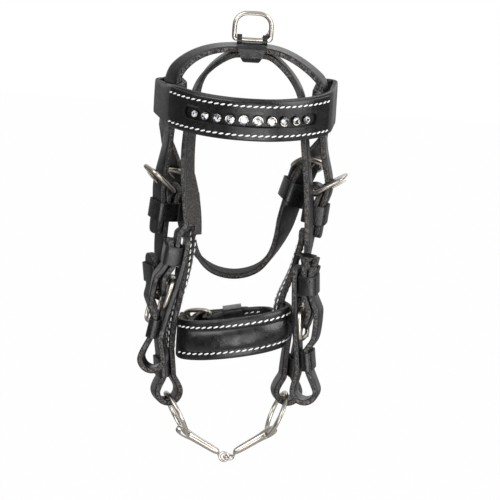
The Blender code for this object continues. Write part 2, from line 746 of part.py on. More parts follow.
def chape_slot(target, spine, s):
    """The slot in a strap that a buckle's bar and chape sit in."""
    half = BUCKLE_WIRE / 2 + CHAPE_CLEARANCE + CHAPE_WALL + FIT_GAP
    low = (-CHAPE_WIDTH / 2 - FIT_GAP, -STRAP_THICKNESS, -half - CHAPE_BACK_ROOM)
    high = (CHAPE_WIDTH / 2 + FIT_GAP, STRAP_THICKNESS, half)
    weld("chape_slot_guide", box(spine.matrix(s), low, high), target, "DIFFERENCE", crown_pivot)


def billet_rise():
    """How a billet climbs from the keeper over a buckle's bar."""
    keeper_end = FRONT_UPPER_KEEPER_S + KEEPER_LENGTH
    return [(keeper_end - FLAT_LEAD, first_layer), (keeper_end, first_layer),
            (keeper_end + 0.0008, first_layer + 0.0001), (FRONT_BUCKLE_S - 0.0025, over_chape - 0.0007)]


def build_front_unit(side):
    """The second cheek strap, whose empty loop hangs at the corner of the mouth."""
    spine = FRONT_SPINES[side]
    bar = bar_matrix(spine, FRONT_BUCKLE_S, bar_seat, FRONT_RING_TILT, False)
    far = bar_seat + BUCKLE_LENGTH * math.sin(math.radians(FRONT_RING_TILT))
    over_far = far + BUCKLE_WIRE / 2 + TONGUE_WIRE + 2 * FIT_GAP + STRAP_THICKNESS / 2 + TAIL_ROOM
    over_billet = over_chape + STRAP_THICKNESS + FIT_GAP + BILLET_ROOM
    points = [(0.0, 0.0), (0.0080, 0.0), (FRONT_BUCKLE_S, 0.0), (FRONT_BUCKLE_S + 0.0080, 0.0)]
    points += loop_points(FRONT_LOWER_KEEPER_S + KEEPER_LENGTH, FRONT_LOOP_S, first_layer)
    points += [(FRONT_LOWER_KEEPER_S + 0.0006, first_layer),
               (FRONT_LOWER_KEEPER_S - 0.0012, first_layer + FIT_GAP),
               (FRONT_BUCKLE_S + BUCKLE_LENGTH + 0.0008, over_far),
               (FRONT_BUCKLE_S + 0.0055, (over_far + over_billet) / 2 + 0.0006),
               (FRONT_BUCKLE_S, over_billet)]
    rise = [(s, o + STRAP_THICKNESS + FIT_GAP) for s, o in billet_rise()]
    points += list(reversed(rise)) + [(FRONT_UPPER_KEEPER_S - 0.0030, second_layer)]
    samples, acrosses = layer_route(spine, points)
    strap_piece = strap("second_cheekpiece_" + side, samples, acrosses, STRAP_WIDTH, STRAP_THICKNESS,
                        crown_pivot, pointed_end())
    chape_slot(strap_piece, spine, FRONT_BUCKLE_S)
    prick(strap_piece, "second_slot_guide", bar, BUCKLE_LENGTH, crown_pivot)
    buckle_frame("second_buckle_frame_" + side, bar, STRAP_WIDTH, BUCKLE_LENGTH, crown_pivot)
    buckle_tongue("second_buckle_tongue_" + side, bar, BUCKLE_LENGTH, crown_pivot)
    tab = chape("second_buckle_chape_" + side, spine, FRONT_BUCKLE_S, bar_seat, crown_pivot)
    prick(tab, "second_chape_guide", bar, BUCKLE_LENGTH, crown_pivot)
    keeper("second_upper_keeper_" + side, spine, FRONT_UPPER_KEEPER_S, first_layer - STRAP_THICKNESS / 2,
           second_layer + STRAP_THICKNESS / 2, crown_pivot)
    keeper("second_lower_keeper_" + side, spine, FRONT_LOWER_KEEPER_S, first_layer - STRAP_THICKNESS / 2,
           first_layer + STRAP_THICKNESS / 2, crown_pivot)
    return bar


cheek_bars = {side: build_rear_unit(side) for side in ("left", "right")}
second_bars = {side: build_front_unit(side) for side in ("left", "right")}

# Throatlash: one strap from ring to ring behind the jaw, facing forwards where its rings are
THROAT_LINE = [(0.0235, -0.0660), (0.0215, -0.0725), (0.0197, -0.0790), (0.0181, -0.0855), (0.0165, -0.0925),
               (0.0130, -0.1010), (0.0075, -0.1075), (-0.0020, -0.1105), (-0.0110, -0.1085), (-0.0175, -0.1025),
               (-0.0212, -0.0945), (-0.0228, -0.0870), (-0.0238, -0.0800), (-0.0245, -0.0740)]
THROAT = Spine([(x, THROAT_Y, z) for x, z in THROAT_LINE],
               [(0.35, -0.94, 0.0), (0.35, -0.94, 0.0), (0.35, -0.94, 0.0), (0.42, -0.90, -0.05),
                (0.80, -0.60, -0.20), (0.85, -0.20, -0.50), (0.55, 0.0, -0.85), (0.0, 0.05, -1.0),
                (-0.50, 0.0, -0.85), (-0.84, -0.25, -0.45), (-0.76, -0.62, -0.12), (-0.57, -0.82, 0.0),
                (-0.55, -0.84, 0.0), (-0.55, -0.84, 0.0)])


def build_throatlash():
    """The throatlash strap, folded round a ring at each end."""
    full = THROAT.length
    points = fold_points(THROAT_CHAPE_LENGTH)
    points += [(STRAIGHT_STEP, 0.0), (0.0200, 0.0)]
    steps = 14
    points += [(0.0260 + (full - 0.0520) * k / steps, 0.0) for k in range(steps + 1)]
    points += [(full - 0.0200, 0.0), (full - STRAIGHT_STEP, 0.0)]
    points += [(full - s, o) for s, o in reversed(fold_points(THROAT_CHAPE_LENGTH))]
    samples, acrosses = layer_route(THROAT, points)
    fold = narrow_at_fold(THROAT_CHAPE_LENGTH)
    piece = strap("throatlash", samples, acrosses, STRAP_WIDTH, STRAP_THICKNESS, crown_pivot,
                  lambda start, left: fold(start, left) * fold(left, start))
    bars = {}
    for side, s, upward in (("right", 0.0, True), ("left", full, False)):
        bar = bar_matrix(THROAT, s, -fold_offset(), THROAT_RING_TILT, upward)
        bars[side] = bar
        prick(piece, "throat_fold_guide_" + side, bar, BUCKLE_LENGTH, crown_pivot)
        buckle_frame("throatlash_buckle_frame_" + side, bar, STRAP_WIDTH, BUCKLE_LENGTH, crown_pivot)
        buckle_tongue("throatlash_buckle_tongue_" + side, bar, BUCKLE_LENGTH, crown_pivot)
        keeper_s = THROAT_KEEPER_S if side == "right" else full - THROAT_KEEPER_S - KEEPER_LENGTH
        slide = pivot("throatlash_keeper_slide_" + side, THROAT.place(keeper_s) + head_shift, crown_pivot)
        low = -2 * fold_offset() - STRAP_THICKNESS / 2
        high = over_fold()[1] + STRAP_THICKNESS / 2
        keeper("throatlash_keeper_" + side, THROAT, keeper_s, low, high, slide)
    return bars


throat_bars = build_throatlash()


def smooth_route(places, acrosses):
    """A smooth strap route through chosen places, with the way across chosen at each."""
    return curve_through(places), curve_through(acrosses)


def billet_places(spine, points):
    """Places and ways across for a billet that follows a spine."""
    return [spine.place(s, o) for s, o in points], [spine.axes(s)[1] for s, o in points]


def front_of(side, out):
    """The level direction towards the front edge of a strap at the side of the head."""
    return Vector((side * out.y, -side * out.x, 0.0))


HEADPIECE_LINE = {
    -1: [(-0.0065, 0.0), (-0.0130, -0.0145), (-0.0200, -0.0168), (-0.0264, -0.0212), (-0.0302, -0.0265),
         (-0.0312, -0.0350), (-0.0318, -0.0440), (-0.0320, -0.0500)],
    1: [(0.0065, 0.0), (0.0128, -0.0150), (0.0190, -0.0180), (0.0250, -0.0222), (0.0289, -0.0265),
        (0.0300, -0.0350), (0.0307, -0.0430), (0.0310, -0.0480)],
}


def headpiece_half(side):
    """Places and ways across from the crown down one side of the head."""
    middle = headpiece_top - HEADPIECE_THICKNESS / 2
    front = front_of(side, turned(side, HEADPIECE_TURN[side]))
    places = []
    acrosses = []
    for x, z in HEADPIECE_LINE[side]:
        places.append(Vector((x, HEADPIECE_Y, z if z else middle)))
        share = min(abs(x) / 0.0300, 1.0)
        acrosses.append(Vector((0.0, -1.0, 0.0)).lerp(front, share ** 2).normalized())
    return places, acrosses


def build_headpiece():
    """The outer headpiece: a wide crown that splits on each side into two billets, for cheek and throat."""
    left, left_ways = headpiece_half(-1)
    right, right_ways = headpiece_half(1)
    places = list(reversed(left)) + [(left[0] + right[0]) / 2] + right
    ways = list(reversed(left_ways)) + [Vector((0.0, -1.0, 0.0))] + right_ways
    samples, acrosses = smooth_route(places, ways)
    crown = strap("headpiece", samples, acrosses, headpiece_width, HEADPIECE_THICKNESS, crown_pivot)
    over, beside = over_fold()
    full = THROAT.length
    for side, name, line, front in ((-1, "left", left, left_ways[-1]), (1, "right", right, right_ways[-1])):
        end = line[-1]
        into = line[-2].lerp(end, 0.4)
        beyond = end + (end - line[-2]).normalized() * 0.0050
        tail, ways = billet_places(REAR_SPINES[name], [(-0.0045, over + 0.0001)] + over_fold_points()
                                   + [(0.0110, beside), (BILLET_END_S, beside)])
        lead = [place + front * billet_offset for place in (into, end, beyond)]
        weld_billet(crown, "cheek_billet_guide_" + name, lead, front, tail, ways, pointed_end())
        prick(crown, "cheek_billet_hole_" + name, cheek_bars[name], RING_BUCKLE_LENGTH, crown_pivot)
        stops = [(-0.0042, over + 0.0001)] + over_fold_points()
        stops += [(0.0100, beside), (THROAT_KEEPER_S + KEEPER_LENGTH + 0.0004, beside),
                  (THROAT_BILLET_END_S, beside + BILLET_ROOM)]
        if name == "left":
            stops = [(full - s, o) for s, o in stops]
        tail, ways = billet_places(THROAT, stops)
        lead = [place - front * billet_offset for place in (into, end)]
        weld_billet(crown, "throat_billet_guide_" + name, lead, front, tail, ways, None)
        prick(crown, "throat_billet_hole_" + name, throat_bars[name], BUCKLE_LENGTH, crown_pivot)


def weld_billet(target, name, lead, front, tail, ways, taper):
    """A billet from inside the end of a strap, through a few places, to where it is buckled."""
    if front.dot(ways[0]) < 0:
        ways = [-way for way in ways]
    samples, acrosses = smooth_route(lead + tail, [front] * len(lead) + ways)
    rings = strap_rings(samples, acrosses, STRAP_WIDTH, STRAP_THICKNESS, taper)
    weld(name, loft(rings), target, "UNION", crown_pivot)


build_headpiece()

# Inner headpiece: from the crown down inside the outer one to the second cheek straps
INNER_Y = HEADPIECE_Y - 0.0035
INNER_LINE = {
    -1: [(-0.0065, INNER_Y, 0.0), (-0.0110, 0.0015, -0.0186), (-0.0162, 0.0002, -0.0228),
         (-0.0200, -0.0015, -0.0285), (-0.0214, -0.0032, -0.0340), (-0.0221, -0.0050, -0.0410),
         (-0.0230, -0.0070, -0.0540), (-0.0224, -0.0088, -0.0660), (-0.0209, -0.0112, -0.0780),
         (-0.0207, -0.0122, -0.0840)],
    1: [(0.0065, INNER_Y, 0.0), (0.0098, 0.0018, -0.0180), (0.0137, 0.0008, -0.0210),
        (0.0171, -0.0004, -0.0244), (0.0197, -0.0018, -0.0283), (0.0215, -0.0032, -0.0328),
        (0.0224, -0.0050, -0.0400), (0.0235, -0.0066, -0.0500), (0.0253, -0.0083, -0.0620),
        (0.0265, -0.0104, -0.0740), (0.0271, -0.0119, -0.0840), (0.0273, -0.0125, -0.0900)],
}
INNER_TURN = {-1: -30.0, 1: 10.0}


def inner_half(side):
    middle = inner_top - STRAP_THICKNESS / 2
    front = front_of(side, turned(side, INNER_TURN[side]))
    places = []
    acrosses = []
    for x, y, z in INNER_LINE[side]:
        places.append(Vector((x, y, z if z else middle)))
        share = min(max((middle - z) / 0.0300, 0.0), 1.0) if z else 0.0
        acrosses.append(Vector((0.0, -1.0, 0.0)).lerp(front, share).normalized())
    name = "left" if side < 0 else "right"
    stops = [(-0.0020, first_layer + 0.0001), (FRONT_UPPER_KEEPER_S, first_layer)] + billet_rise()
    stops += [(FRONT_BUCKLE_S, over_chape), (FRONT_BUCKLE_S + 0.0034, over_chape - 0.0010),
              (FRONT_BUCKLE_S + 0.0075, first_layer - 0.0004)]
    tail, ways = billet_places(FRONT_SPINES[name], stops)
    return places + tail, acrosses + ways


def build_inner_headpiece():
    """The strap below the headpiece. On the left a short tab behind it carries the noseband's hanger."""
    left, left_ways = inner_half(-1)
    right, right_ways = inner_half(1)
    places = list(reversed(left)) + [(left[0] + right[0]) / 2] + right
    ways = list(reversed(left_ways)) + [Vector((0.0, -1.0, 0.0))] + right_ways
    samples, acrosses = smooth_route(places, ways)
    point = pointed_end()
    inner = strap("inner_headpiece", samples, acrosses, STRAP_WIDTH, STRAP_THICKNESS, crown_pivot,
                  lambda start, left_over: point(left_over, start) * point(start, left_over))
    front = front_of(-1, turned(-1, INNER_TURN[-1]))
    line = [Vector(p) for p in INNER_LINE[-1][-3:]]
    line.append(line[-1] + (line[-1] - line[-2]) * ((TAB_END_Z - line[-1].z) / (line[-1].z - line[-2].z)))
    back = STRAP_WIDTH / 2 + TAB_WIDTH / 2 - 0.0004
    steps = (back - 0.0040, back - 0.0006, back, back)
    tab = [place - front * step for place, step in zip(line, steps)]
    samples, acrosses = smooth_route(tab, [front] * len(tab))
    rings = strap_rings(samples, acrosses, TAB_WIDTH, STRAP_THICKNESS - 0.0001)
    weld("inner_tab_guide", loft(rings), inner, "UNION", crown_pivot)
    for name, bar in second_bars.items():
        prick(inner, "second_billet_hole_" + name, bar, BUCKLE_LENGTH, crown_pivot)


build_inner_headpiece()


BROWBAND_FRONT = [(-0.0278, -0.0120), (-0.0200, -0.0198), (-0.0100, -0.0247), (0.0010, -0.0262),
                  (0.0116, -0.0246), (0.0212, -0.0194), (0.0286, -0.0118)]


def browband_side(side):
    """Places of the browband's outer layer at the headpiece: behind it, beside it and in front of it."""
    at_height = [p for p in HEADPIECE_LINE[side] if p[1] > BROWBAND_Z]
    below = [p for p in HEADPIECE_LINE[side] if p[1] <= BROWBAND_Z][0]
    above = at_height[-1]
    x = above[0] + (below[0] - above[0]) * (BROWBAND_Z - above[1]) / (below[1] - above[1])
    out = turned(side, HEADPIECE_TURN[side])
    front = front_of(side, out)
    beside = out * BROWBAND_FOLD_RADIUS
    edge = headpiece_width / 2
    middle = Vector((x, HEADPIECE_Y, BROWBAND_Z))
    reaches = (-edge + 0.0001, -0.0020, edge * 0.5, edge + 0.0002)
    places = [middle + front * reach + beside for reach in reaches]
    return places, [out] * len(places)


def browband_spine():
    left, left_outs = browband_side(-1)
    right, right_outs = browband_side(1)
    front = [Vector((x, y, BROWBAND_Z)) for x, y in BROWBAND_FRONT]
    places = left + front + list(reversed(right))
    outs = left_outs + [unit((p.x, p.y, 0.0)) for p in front] + list(reversed(right_outs))
    return Spine(places, outs)


BROW = browband_spine()


def browband_end():
    """The band's end: sewn behind the band, out round the headpiece's inside, and round its rear edge."""
    inner = -(BROWBAND_THICKNESS + 2 * FIT_GAP)
    beside = headpiece_width
    deep = -2 * BROWBAND_FOLD_RADIUS
    points = [(beside + BROWBAND_LAP, inner), (beside + 0.0076, inner), (beside + 0.0060, inner - 0.0002),
              (beside + 0.0018, deep + FIT_GAP), (beside - FLAT_LEAD, deep), (beside / 2, deep)]
    points += arc((0.0, -BROWBAND_FOLD_RADIUS), BROWBAND_FOLD_RADIUS, 180, 360, 7)
    return points


def along_band(start, end, o, step=0.0060):
    count = max(int((end - start) / step), 2)
    return [(start + (end - start) * k / count, o) for k in range(count + 1)]


def build_browband():
    """The browband, the layer with the long slot that is sewn on it, and the stones in their cups."""
    full = BROW.length
    points = browband_end() + along_band(0.0060, full - 0.0060, 0.0)
    points += [(full - s, o) for s, o in reversed(browband_end())]
    samples, acrosses = layer_route(BROW, points)
    strap("browband", samples, acrosses, BROWBAND_HEIGHT, BROWBAND_THICKNESS, crown_pivot,
          most_turn=LAYER_TURN)
    layer = BROWBAND_THICKNESS / 2 + FIT_GAP + OVERLAY_THICKNESS / 2
    samples, acrosses = layer_route(BROW, along_band(OVERLAY_START_S, full - OVERLAY_START_S, layer))
    height = BROWBAND_HEIGHT - 2 * OVERLAY_MARGIN
    overlay = strap("browband_overlay", samples, acrosses, height, OVERLAY_THICKNESS, crown_pivot,
                    most_turn=LAYER_TURN)
    middle = full / 2 + STONES_SHIFT
    room = SLOT_LENGTH - 2 * (SLOT_END_ROOM + CUP_WALL) - CRYSTAL_DIAMETER
    count = int(room / CRYSTAL_PITCH) + 1
    slot = along_band(middle - SLOT_LENGTH / 2, middle + SLOT_LENGTH / 2, layer)
    samples, acrosses = layer_route(BROW, slot)
    point = pointed_end(SLOT_HEIGHT / 2, 0.25)
    rings = strap_rings(samples, acrosses, SLOT_HEIGHT, 2 * OVERLAY_THICKNESS,
                        lambda start, left: point(left, start) * point(start, left), most_turn=LAYER_TURN)
    weld("slot_guide", loft(rings), overlay, "DIFFERENCE", crown_pivot)
    reach = (count - 1) / 2 * CRYSTAL_PITCH
    base = BROWBAND_THICKNESS / 2 + FIT_GAP
    links = along_band(middle - reach, middle + reach, base + LINK_WIRE / 2, CRYSTAL_PITCH)
    samples, acrosses = layer_route(BROW, links)
    rings = strap_rings(samples, acrosses, 2 * LINK_WIRE, LINK_WIRE, most_turn=LAYER_TURN)
    chain = finish("crystal_chain", loft(rings), CRYSTAL, crown_pivot)
    stones = bmesh.new()
    for k in range(count):
        s = middle - reach + k * CRYSTAL_PITCH
        matrix = BROW.matrix(s, base) @ Matrix.Rotation(math.radians(-90), 4, "X")
        add_turned(stones, matrix, stone_profile(), CRYSTAL_SIDES)
    weld("stones_guide", stones, chain, "UNION", crown_pivot)


def stone_profile():
    """Radius and height of a stone in its cup: the cup's foot and rim, then the stone's crown up to its table."""
    half = CRYSTAL_DIAMETER / 2
    cup = half + CUP_WALL
    return [(cup - CUP_WALL, 0.0), (cup, CUP_WALL), (cup, CUP_DEPTH), (half, CUP_DEPTH),
            (half * 0.90, CUP_DEPTH + CRYSTAL_HEIGHT * 0.4), (half * 0.52, CUP_DEPTH + CRYSTAL_HEIGHT)]


def add_turned(bm, matrix, profile, sides):
    """A turned body on the matrix's Z axis, added to a mesh; both ends of the profile are closed flat."""
    rings = []
    for radius, height in profile:
        ring = []
        for k in range(sides):
            angle = 2 * math.pi * k / sides
            ring.append(matrix @ Vector((radius * math.cos(angle), radius * math.sin(angle), height)))
        rings.append(ring)
    body = loft(rings)
    mesh = bpy.data.meshes.new("turned")
    body.to_mesh(mesh)
    body.free()
    bm.from_mesh(mesh)
    bpy.data.meshes.remove(mesh)


build_browband()


def noseband_height(x):
    """The noseband hangs a little lower on the left, so its middle line rises with x."""
    return NOSEBAND_Z + NOSEBAND_SLOPE * x


NOSE_PLAN = [(-0.0212, 0.0000), (-0.0221, -0.0060), (-0.0206, -0.0130), (-0.0146, -0.0184), (-0.0060, -0.0212),
             (0.0030, -0.0216), (0.0120, -0.0196), (0.0186, -0.0148), (0.0209, -0.0092), (0.0196, -0.0045),
             (0.0184, -0.0010), (0.0178, 0.0015)]
NOSE = Spine([(x, y, noseband_height(x)) for x, y in NOSE_PLAN],
             [(-1.0, 0.05, 0.0), (-0.99, -0.10, 0.0), (-0.85, -0.50, 0.0), (-0.45, -0.90, 0.0),
              (-0.20, -0.98, 0.0), (0.05, -1.0, 0.0), (0.40, -0.92, 0.0), (0.80, -0.60, 0.0),
              (1.0, -0.05, 0.0), (0.95, 0.28, 0.0), (0.96, 0.26, 0.0), (0.97, 0.24, 0.0)])


def build_noseband():
    full = NOSE.length
    samples, acrosses = layer_route(NOSE, along_band(0.0, full, 0.0, 0.0050))
    strap("noseband", samples, acrosses, NOSEBAND_HEIGHT, NOSEBAND_THICKNESS, crown_pivot,
          most_turn=LAYER_TURN)
    layer = NOSEBAND_THICKNESS / 2 + FIT_GAP + PAD_THICKNESS / 2
    samples, acrosses = layer_route(NOSE, along_band(PAD_START_S, full - PAD_END_S, layer, 0.0050))
    rings = strap_rings(samples, acrosses, PAD_HEIGHT, PAD_THICKNESS, pointed_end(0.0030, 0.6), PAD_EDGE,
                        LAYER_TURN)
    finish("noseband_pad", loft(rings), EDGE_LEATHER, crown_pivot)


build_noseband()

HANGERS = {
    "left": ([(-0.0202, -0.0034, -0.0800), (-0.0201, -0.0034, -0.0860), (-0.0199, -0.0038, -0.0946),
              (-0.0204, -0.0046, -0.1034), (-0.0212, -0.0054, -0.1090), (-0.0230, -0.0068, -0.1176),
              (-0.0249, -0.0076, -0.1255), (-0.0253, -0.0078, -0.1310), (-0.0253, -0.0078, -0.1365)],
             [(-0.87, 0.50, 0.0), (-0.87, 0.50, 0.0), (-0.92, 0.40, 0.0), (-0.96, 0.28, 0.0),
              (-0.98, 0.15, 0.0), (-1.0, -0.05, 0.0), (-0.98, -0.18, 0.0), (-0.98, -0.20, 0.0),
              (-0.98, -0.20, 0.0)]),
    "right": ([(0.0249, -0.0075, -0.0850), (0.0249, -0.0073, -0.0890), (0.0236, -0.0054, -0.0940),
               (0.0226, -0.0044, -0.0990), (0.0211, -0.0044, -0.1045), (0.0190, -0.0050, -0.1095),
               (0.0173, -0.0060, -0.1145), (0.0168, -0.0066, -0.1200), (0.0168, -0.0068, -0.1290)],
              [(0.985, -0.17, 0.0), (0.985, -0.17, 0.0), (0.98, -0.10, 0.0), (0.98, 0.0, 0.0),
               (0.98, 0.08, 0.0), (0.98, 0.16, 0.0), (0.96, 0.24, 0.0), (0.95, 0.28, 0.0),
               (0.95, 0.28, 0.0)]),
}


def build_hangers():
    """The straps that carry the noseband, lapped on the inner headpiece above and on the noseband below."""
    for name, (places, outs) in HANGERS.items():
        line = Spine(places, outs)
        samples, acrosses = layer_route(line, along_band(0.0, line.length, 0.0, 0.0040))
        strap("noseband_hanger_" + name, samples, acrosses, HANGER_WIDTH, HANGER_THICKNESS, crown_pivot)


build_hangers()

# Chin strap: the right half is folded round the buckle, the left half is its billet, and the grain faces back
CHIN_PLAN = [(-0.0093, 0.0076), (-0.0030, 0.0082), (0.0030, 0.0085), (0.0085, 0.0079), (0.0128, 0.0054),
             (0.0152, 0.0015), (0.0163, -0.0022)]
CHIN = Spine([(x, y, noseband_height(x)) for x, y in CHIN_PLAN],
             [(0.0, 1.0, 0.0), (0.0, 1.0, 0.0), (0.0, 1.0, 0.0), (0.35, 0.94, 0.0), (0.75, 0.66, 0.0),
              (0.95, 0.30, 0.0), (0.97, 0.24, 0.0)])
CHIN_LEAD = [(-0.0192, -0.0065), (-0.0186, -0.0025), (-0.0177, 0.0015), (-0.0168, 0.0052), (-0.0152, 0.0090)]


def build_chin_strap():
    over, beside = over_fold()
    points = fold_points() + [(STRAIGHT_STEP, 0.0), (0.0170, 0.0), (0.0220, 0.0)]
    points += [(CHIN.length - 0.0050, 0.0), (CHIN.length, 0.0)]
    samples, acrosses = layer_route(CHIN, points)
    right = strap("chin_strap_right", samples, acrosses, CHIN_STRAP_WIDTH, STRAP_THICKNESS, crown_pivot,
                  narrow_at_fold())
    bar = bar_matrix(CHIN, 0.0, -fold_offset(), CHIN_RING_TILT, True)
    prick(right, "chin_fold_guide", bar, BUCKLE_LENGTH, crown_pivot)
    buckle_frame("chin_buckle_frame", bar, CHIN_STRAP_WIDTH, BUCKLE_LENGTH, crown_pivot)
    buckle_tongue("chin_buckle_tongue", bar, BUCKLE_LENGTH, crown_pivot)
    lead = [Vector((x, y, noseband_height(x))) for x, y in CHIN_LEAD]
    tail, ways = billet_places(CHIN, [(-0.0040, over)] + over_fold_points()
                               + [(0.0110, beside), (CHIN_BILLET_END_S, beside)])
    up = Vector((0.0, 0.0, math.copysign(1.0, ways[0].z)))
    lead_ways = [up, up, up, up.lerp(ways[0], 0.35), up.lerp(ways[0], 0.75)]
    samples, acrosses = smooth_route(lead + tail, lead_ways + ways)
    left = strap("chin_strap_left", samples, acrosses, CHIN_STRAP_WIDTH, STRAP_THICKNESS, crown_pivot,
                 pointed_end())
    prick(left, "chin_hole_guide", bar, BUCKLE_LENGTH, crown_pivot)
    slide = pivot("chin_keeper_slide", CHIN.place(CHIN_KEEPER_S) + head_shift, crown_pivot)
    keeper("chin_keeper", CHIN, CHIN_KEEPER_S, -2 * fold_offset() - STRAP_THICKNESS / 2,
           beside + STRAP_THICKNESS / 2, slide, CHIN_STRAP_WIDTH)


build_chin_strap()


def ring_top(side):
    """Where a bit ring's wire rests in the loop of its cheekpiece."""
    radius = BIT_RING_DIAMETER / 2
    sag = radius - math.sqrt(radius ** 2 - (STRAP_WIDTH / 2) ** 2)
    s = REAR_LOOP_S - STRAP_THICKNESS - FIT_GAP - BIT_RING_WIRE / 2 - sag
    place = REAR_SPINES[side].place(s, first_layer / 2)
    place.y = rear_unit_y
    return place


def build_bit():
    """Two loose rings and the two halves of the mouthpiece, hinged in the rings and linked by their eyes."""
    tops = {side: ring_top(side) for side in ("left", "right")}
    lean = (tops["right"] - tops["left"]) / 2
    half_span = lean.length
    lean.normalize()
    down = Vector((lean.z, 0.0, -lean.x))
    swing = math.radians(BIT_RING_SWING)
    reach = BIT_RING_DIAMETER * math.sin(swing)
    arm_cos = (half_span - reach) / BIT_ARM_REACH
    arm_drop = BIT_ARM_REACH * math.sqrt(1 - arm_cos ** 2)
    joint = (tops["right"] + tops["left"]) / 2 + down * (BIT_RING_DIAMETER * math.cos(swing) + arm_drop)
    for name, side in (("left", -1), ("right", 1)):
        top = tops[name]
        hole = top - lean * side * reach + down * BIT_RING_DIAMETER * math.cos(swing)
        toe = math.radians(BIT_RING_TOE[name])
        drop = (hole - top).normalized()
        wide = Vector((-side * math.sin(toe), -math.cos(toe), 0.0))
        wide = (wide - drop * wide.dot(drop)).normalized()
        ring_pivot = pivot("bit_ring_hinge_" + name, top + head_shift, crown_pivot)
        centre = (top + hole) / 2
        points = []
        for k in range(BIT_RING_STEPS):
            angle = 2 * math.pi * (k + 0.5) / BIT_RING_STEPS
            points.append(centre + (drop * math.cos(angle) + wide * math.sin(angle)) * BIT_RING_DIAMETER / 2)
        wire("bit_ring_" + name, points, BIT_RING_WIRE, ring_pivot, closed=True, sides=8)
        arm_pivot = pivot("bit_arm_hinge_" + name, hole + head_shift, ring_pivot)
        build_arm(name, side, hole, joint, wide, arm_pivot)


def build_arm(name, side, hole, joint, wide, parent):
    """One half of the mouthpiece: a slotted heel on the ring, a plain shaft, and a wire eye."""
    along = (joint - hole).normalized()
    centre = joint + Vector((side * BIT_EYE_DIAMETER / 4, 0.0, 0.0))
    root = centre + Vector((side * BIT_EYE_DIAMETER / 2, 0.0, 0.0))
    shoulder = BIT_ARM_REACH - BIT_NECK_LENGTH
    profile = ((-BIT_ARM_HEEL, 0.55), (0.0005 - BIT_ARM_HEEL, 0.95), (-0.0030, 1.20), (-0.0008, 1.32),
               (0.0016, 1.20), (0.0034, 1.0), (shoulder, 1.0), (shoulder + 0.0007, 0.62))
    line = [(hole + along * s, share) for s, share in profile]
    line.append(((hole + along * (shoulder + 0.0007)).lerp(root, 0.55), 0.42))
    line.append((root, 0.34))
    up = along.cross(Vector((0.0, 1.0, 0.0)))
    rings = []
    for place, share in line:
        ring = []
        for k in range(BIT_ARM_SIDES):
            angle = 2 * math.pi * k / BIT_ARM_SIDES
            ring.append(place + (up * math.cos(angle) + Vector((0.0, 1.0, 0.0)) * math.sin(angle))
                        * share * BIT_ARM_DIAMETER / 2)
        rings.append(ring)
    arm = finish("bit_arm_" + name, loft(rings), NICKEL, parent, smooth=50)
    across = (along - wide * along.dot(wide)).normalized()
    other = wide.cross(across)
    room = BIT_RING_WIRE / 2 + BIT_HOLE_CLEARANCE
    slot = []
    for depth in (-BIT_ARM_DIAMETER, BIT_ARM_DIAMETER):
        ring = []
        for x, y in rounded_outline(BIT_SLOT_LENGTH, 2 * room, room * 0.98, 3):
            reach = x + room - BIT_SLOT_LENGTH / 2
            ring.append(hole + across * reach + other * y + wide * depth)
        slot.append(ring)
    weld("heel_slot_guide_" + name, loft(slot), arm, "DIFFERENCE", parent)
    turn = math.radians(BIT_EYE_TURN[name])
    flat = Vector((0.0, math.sin(turn), math.cos(turn)))
    points = []
    for k in range(BIT_EYE_STEPS):
        angle = 2 * math.pi * k / BIT_EYE_STEPS
        points.append(centre + (Vector((1.0, 0.0, 0.0)) * math.cos(angle) + flat * math.sin(angle))
                      * BIT_EYE_DIAMETER / 2)
    weld("eye_guide_" + name, tube(points, BIT_EYE_WIRE, 8, closed=True), arm, "UNION", parent)


build_bit()
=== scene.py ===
"""Looks of a miniature black leather bridle that hangs from a nickel ring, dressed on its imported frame.

Metres, +Z up, the front faces -Y, and left is -X as seen from the front.
"""

import json
import math

import bmesh
import bpy
from mathutils import Matrix, Vector
from mathutils.bvhtree import BVHTree
from mathutils.noise import noise


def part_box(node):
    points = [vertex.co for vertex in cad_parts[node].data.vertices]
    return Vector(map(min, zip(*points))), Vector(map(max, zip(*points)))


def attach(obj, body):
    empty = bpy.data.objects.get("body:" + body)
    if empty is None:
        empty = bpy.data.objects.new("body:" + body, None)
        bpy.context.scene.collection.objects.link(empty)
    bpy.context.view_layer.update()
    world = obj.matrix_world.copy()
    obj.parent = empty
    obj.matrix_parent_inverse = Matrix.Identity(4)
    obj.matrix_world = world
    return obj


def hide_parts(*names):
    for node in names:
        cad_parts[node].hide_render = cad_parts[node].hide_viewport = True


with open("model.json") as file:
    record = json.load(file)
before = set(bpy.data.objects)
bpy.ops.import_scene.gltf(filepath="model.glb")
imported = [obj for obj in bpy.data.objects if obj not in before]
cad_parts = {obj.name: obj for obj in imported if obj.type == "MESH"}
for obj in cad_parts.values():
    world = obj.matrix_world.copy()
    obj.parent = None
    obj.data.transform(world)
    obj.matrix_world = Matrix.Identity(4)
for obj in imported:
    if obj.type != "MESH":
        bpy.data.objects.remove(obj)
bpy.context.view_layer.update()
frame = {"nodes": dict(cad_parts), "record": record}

# Camera: it stands well in front and a little above, with a very long lens, as for a product photograph.
# It is rolled a little, because the bridle was photographed hanging slightly askew.
AIM = Vector((0.0042, 0.0018, -0.0965))
RISE = math.radians(14.0)
ROLL = math.radians(3.5)
DISTANCE = 4.0


def facing_bridle(place):
    """The placing of something that stands at the place and faces the middle of the bridle."""
    return Matrix.Translation(place) @ (AIM - place).to_track_quat("-Z", "Y").to_matrix().to_4x4()


